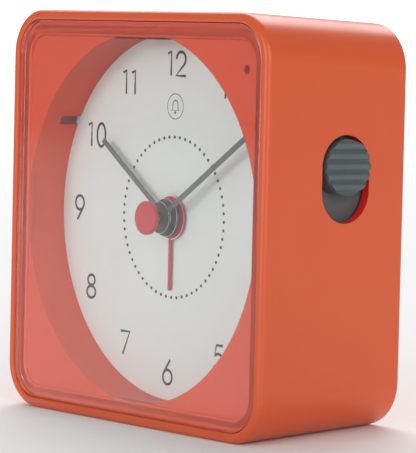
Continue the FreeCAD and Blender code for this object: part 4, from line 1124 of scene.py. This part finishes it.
# -------------------- alarm slider
@dataclass
class AlarmSlider:
    """Round grey slider in the right side, its face moulded in soft ribs, over a flat flange."""

    front: float = 80.0
    depth: float = 20.4
    up: float = 11.55
    radius: float = 5.25
    proud: float = 1.0
    floor: float = 3.1
    flange: tuple[float, float, float] = (22.1, 13.6, 1.0)
    pitch: float = 1.92
    phase: float = 0.19
    rib_depth: float = 0.6
    rows: int = 54
    shoulder: float = 0.7
    shoulder_drop: float = 0.25
    face_skin: float = 0.6
    least_sink: float = 0.004

    def knob(self) -> Piece:
        """Round knob whose face rises and falls in smooth ribs."""
        deselect()
        tall = self.proud + self.floor
        bpy.ops.mesh.primitive_cylinder_add(vertices=96, radius=self.radius, depth=tall,
                                            rotation=(0, math.pi / 2, 0))
        knob = settle("slider_knob")
        face = tall / 2
        pick(knob, "FACE", lambda corners: True)
        for row in range(1, self.rows):
            height = -self.radius + 2 * self.radius * row / self.rows
            bpy.ops.mesh.select_all(action="SELECT")
            bpy.ops.mesh.bisect(plane_co=(0, height, 0), plane_no=(0, 1, 0))
        mesh = bmesh.from_edit_mesh(knob.data)
        levels = sorted({round(vert.co.y, 4) for vert in mesh.verts})
        for level in levels:
            sink = self.rib(level)
            if sink > self.least_sink:
                pick(knob, "VERT", lambda at: at[0].x > face - self.face_skin and abs(at[0].y - level) < 1e-4)
                bpy.ops.transform.translate(value=(-sink, 0, 0))
        return done(knob)

    def rib(self, height: float) -> float:
        """Work out how far the face lies below the rib tops.

        Args:
            height: height on the knob, from its middle.

        Returns:
            The drop.
        """
        wave = 0.5 - 0.5 * math.cos(2 * math.pi * (height - self.phase) / self.pitch)
        edge = max(0.0, abs(height) - (self.radius - self.shoulder)) / self.shoulder
        return self.rib_depth * wave ** 2.5 + self.shoulder_drop * edge ** 2

    def build(self) -> list[Piece]:
        """Model knob and flange and set them in the slot."""
        knob = self.knob()
        soften(knob, 0.12, 2, 50)
        dress(knob, GREY_ABS)
        on_side(knob, (self.proud - self.floor) / 2, self.up, self.depth, self.front)
        high, wide, thick = self.flange
        deselect()
        bpy.ops.mesh.primitive_cube_add(size=1.0)
        bpy.context.object.scale = (thick, high, wide)
        flange = settle("slider_flange")
        soften(flange, 0.15, 2, 50)
        dress(flange, DARK_ABS)
        on_side(flange, -self.floor - thick / 2, self.up, self.depth, self.front)
        slider = merge([knob, flange], "alarm_slider")
        stand(slider)
        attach(slider, "alarm_switch")
        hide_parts("alarm_switch_slider")
        return [slider]


# -------------------- studio
@dataclass
class Studio:
    """Pale floor, white surroundings, soft lights and the camera."""

    azimuth: float = 51.058
    elevation: float = 5.1225
    roll: float = 0.484
    distance_mm: float = 583.26
    target_mm: tuple[float, float, float] = (0.790, 2.194, 37.296)
    lens_mm: float = 236.05
    sensor_mm: float = 36.0
    floor_colour: str = "#F4F4F4"
    world_strength: float = 0.42

    def build(self) -> None:
        """Make the floor, the sky, the lights and the camera."""
        self.floor()
        self.sky()
        self.light("front_softbox", (0.1, -1.3, 0.22), 0.9, 5.9)
        self.light("key_softbox", (-0.25, -1.2, 0.4), 0.12, 0.6)
        self.light("side_softbox", (1.3, -0.25, 0.45), 0.8, 6.5)
        self.light("floor_softbox", (-3.2, 2.8, 3.2), 5.0, 260.0, (-3.2, 2.8, 0.0))
        self.camera()

    def floor(self) -> None:
        """Plain pale table top, far larger than the view."""
        deselect()
        bpy.ops.mesh.primitive_plane_add(size=30.0, location=(0.0, 0.0, 0.0))
        floor = settle("table_top")
        material = bpy.data.materials.new("pale_table")
        material.use_nodes = True
        shader = material.node_tree.nodes["Principled BSDF"]
        shader.inputs["Base Color"].default_value = linear(self.floor_colour)
        shader.inputs["Roughness"].default_value = 1.0
        shader.inputs["Specular IOR Level"].default_value = 0.0
        floor.data.materials.append(material)

    def sky(self) -> None:
        """Even white surroundings."""
        world = bpy.data.worlds.new("white_studio")
        world.use_nodes = True
        back = world.node_tree.nodes["Background"]
        back.inputs["Color"].default_value = (1.0, 1.0, 1.0, 1.0)
        back.inputs["Strength"].default_value = self.world_strength
        bpy.context.scene.world = world

    @staticmethod
    def light(name: str, place: tuple[float, float, float], size: float, power: float,
              target: tuple[float, float, float] = (0.0, 0.0, 0.04)) -> None:
        """Add one square softbox.

        Args:
            name: the lamp's name.
            place: its middle, in metres.
            size: its side, in metres.
            power: watts.
            target: the point that it faces, the clock if not given.
        """
        deselect()
        bpy.ops.object.light_add(type="AREA", location=place)
        lamp = bpy.context.object
        lamp.name = name
        lamp.data.size = size
        lamp.data.energy = power
        aim = Vector(target) - Vector(place)
        lamp.rotation_mode = "QUATERNION"
        lamp.rotation_quaternion = aim.to_track_quat("-Z", "Y")

    def camera(self) -> None:
        """Set the camera at the viewing angle, rolled by the small tilt of the view."""
        deselect()
        bpy.ops.object.camera_add()
        camera = bpy.context.object
        camera.name = "view_camera"
        camera.data.lens = self.lens_mm
        camera.data.sensor_width = self.sensor_mm
        turn, rise = math.radians(self.azimuth), math.radians(self.elevation)
        back = Vector((math.sin(turn) * math.cos(rise), -math.cos(turn) * math.cos(rise),
                       math.sin(rise)))
        camera.location = Vector(self.target_mm) * MM + back * self.distance_mm * MM
        camera.rotation_mode = "QUATERNION"
        level = (-back).to_track_quat("-Z", "Y")
        spin = Matrix.Rotation(math.radians(-self.roll), 4, "Z").to_quaternion()
        camera.rotation_quaternion = level @ spin
        camera.data.clip_start = 0.01
        bpy.context.scene.camera = camera


def sub_assemblies() -> list:
    """Every sub-assembly of the clock, front to back."""
    return [
        CaseShell(), FrontLens(), DialSurround(), Dial(),
        Hand("minute_hand", "minute", "dark_hand", GREY_LACQUER, DARK_LACQUER, 7.9, 3.09, 31.0, 1.1,
             57.0, 1.2, 1.9, 0.65),
        Hand("hour_hand", "hour", "dark_hand", GREY_LACQUER, DARK_LACQUER, 9.3, 3.72, 25.0, 1.1,
             304.75, 1.85, 2.5, 0.65),
        Hand("alarm_hand", "alarm", "red_hand", CORAL_LACQUER, CORAL_LACQUER, 10.6, 4.35, 14.3, 0.8,
             180.0, 2.5, 3.2, 0.0, tip=Tip.ROUND),
        SecondsDisc(), AlarmSlider(),
    ]


def main() -> None:
    """Build every sub-assembly in order and report it."""
    logging.basicConfig(level=logging.INFO)
    bpy.context.scene.view_settings.view_transform = "Standard"
    dress_cad_nodes()
    for part in sub_assemblies():
        for piece in part.build():
            LOG.info("%s: %s, %d faces", type(part).__name__, piece.name, len(piece.data.polygons))
    Studio().build()


if __name__ == "__main__":
    main()
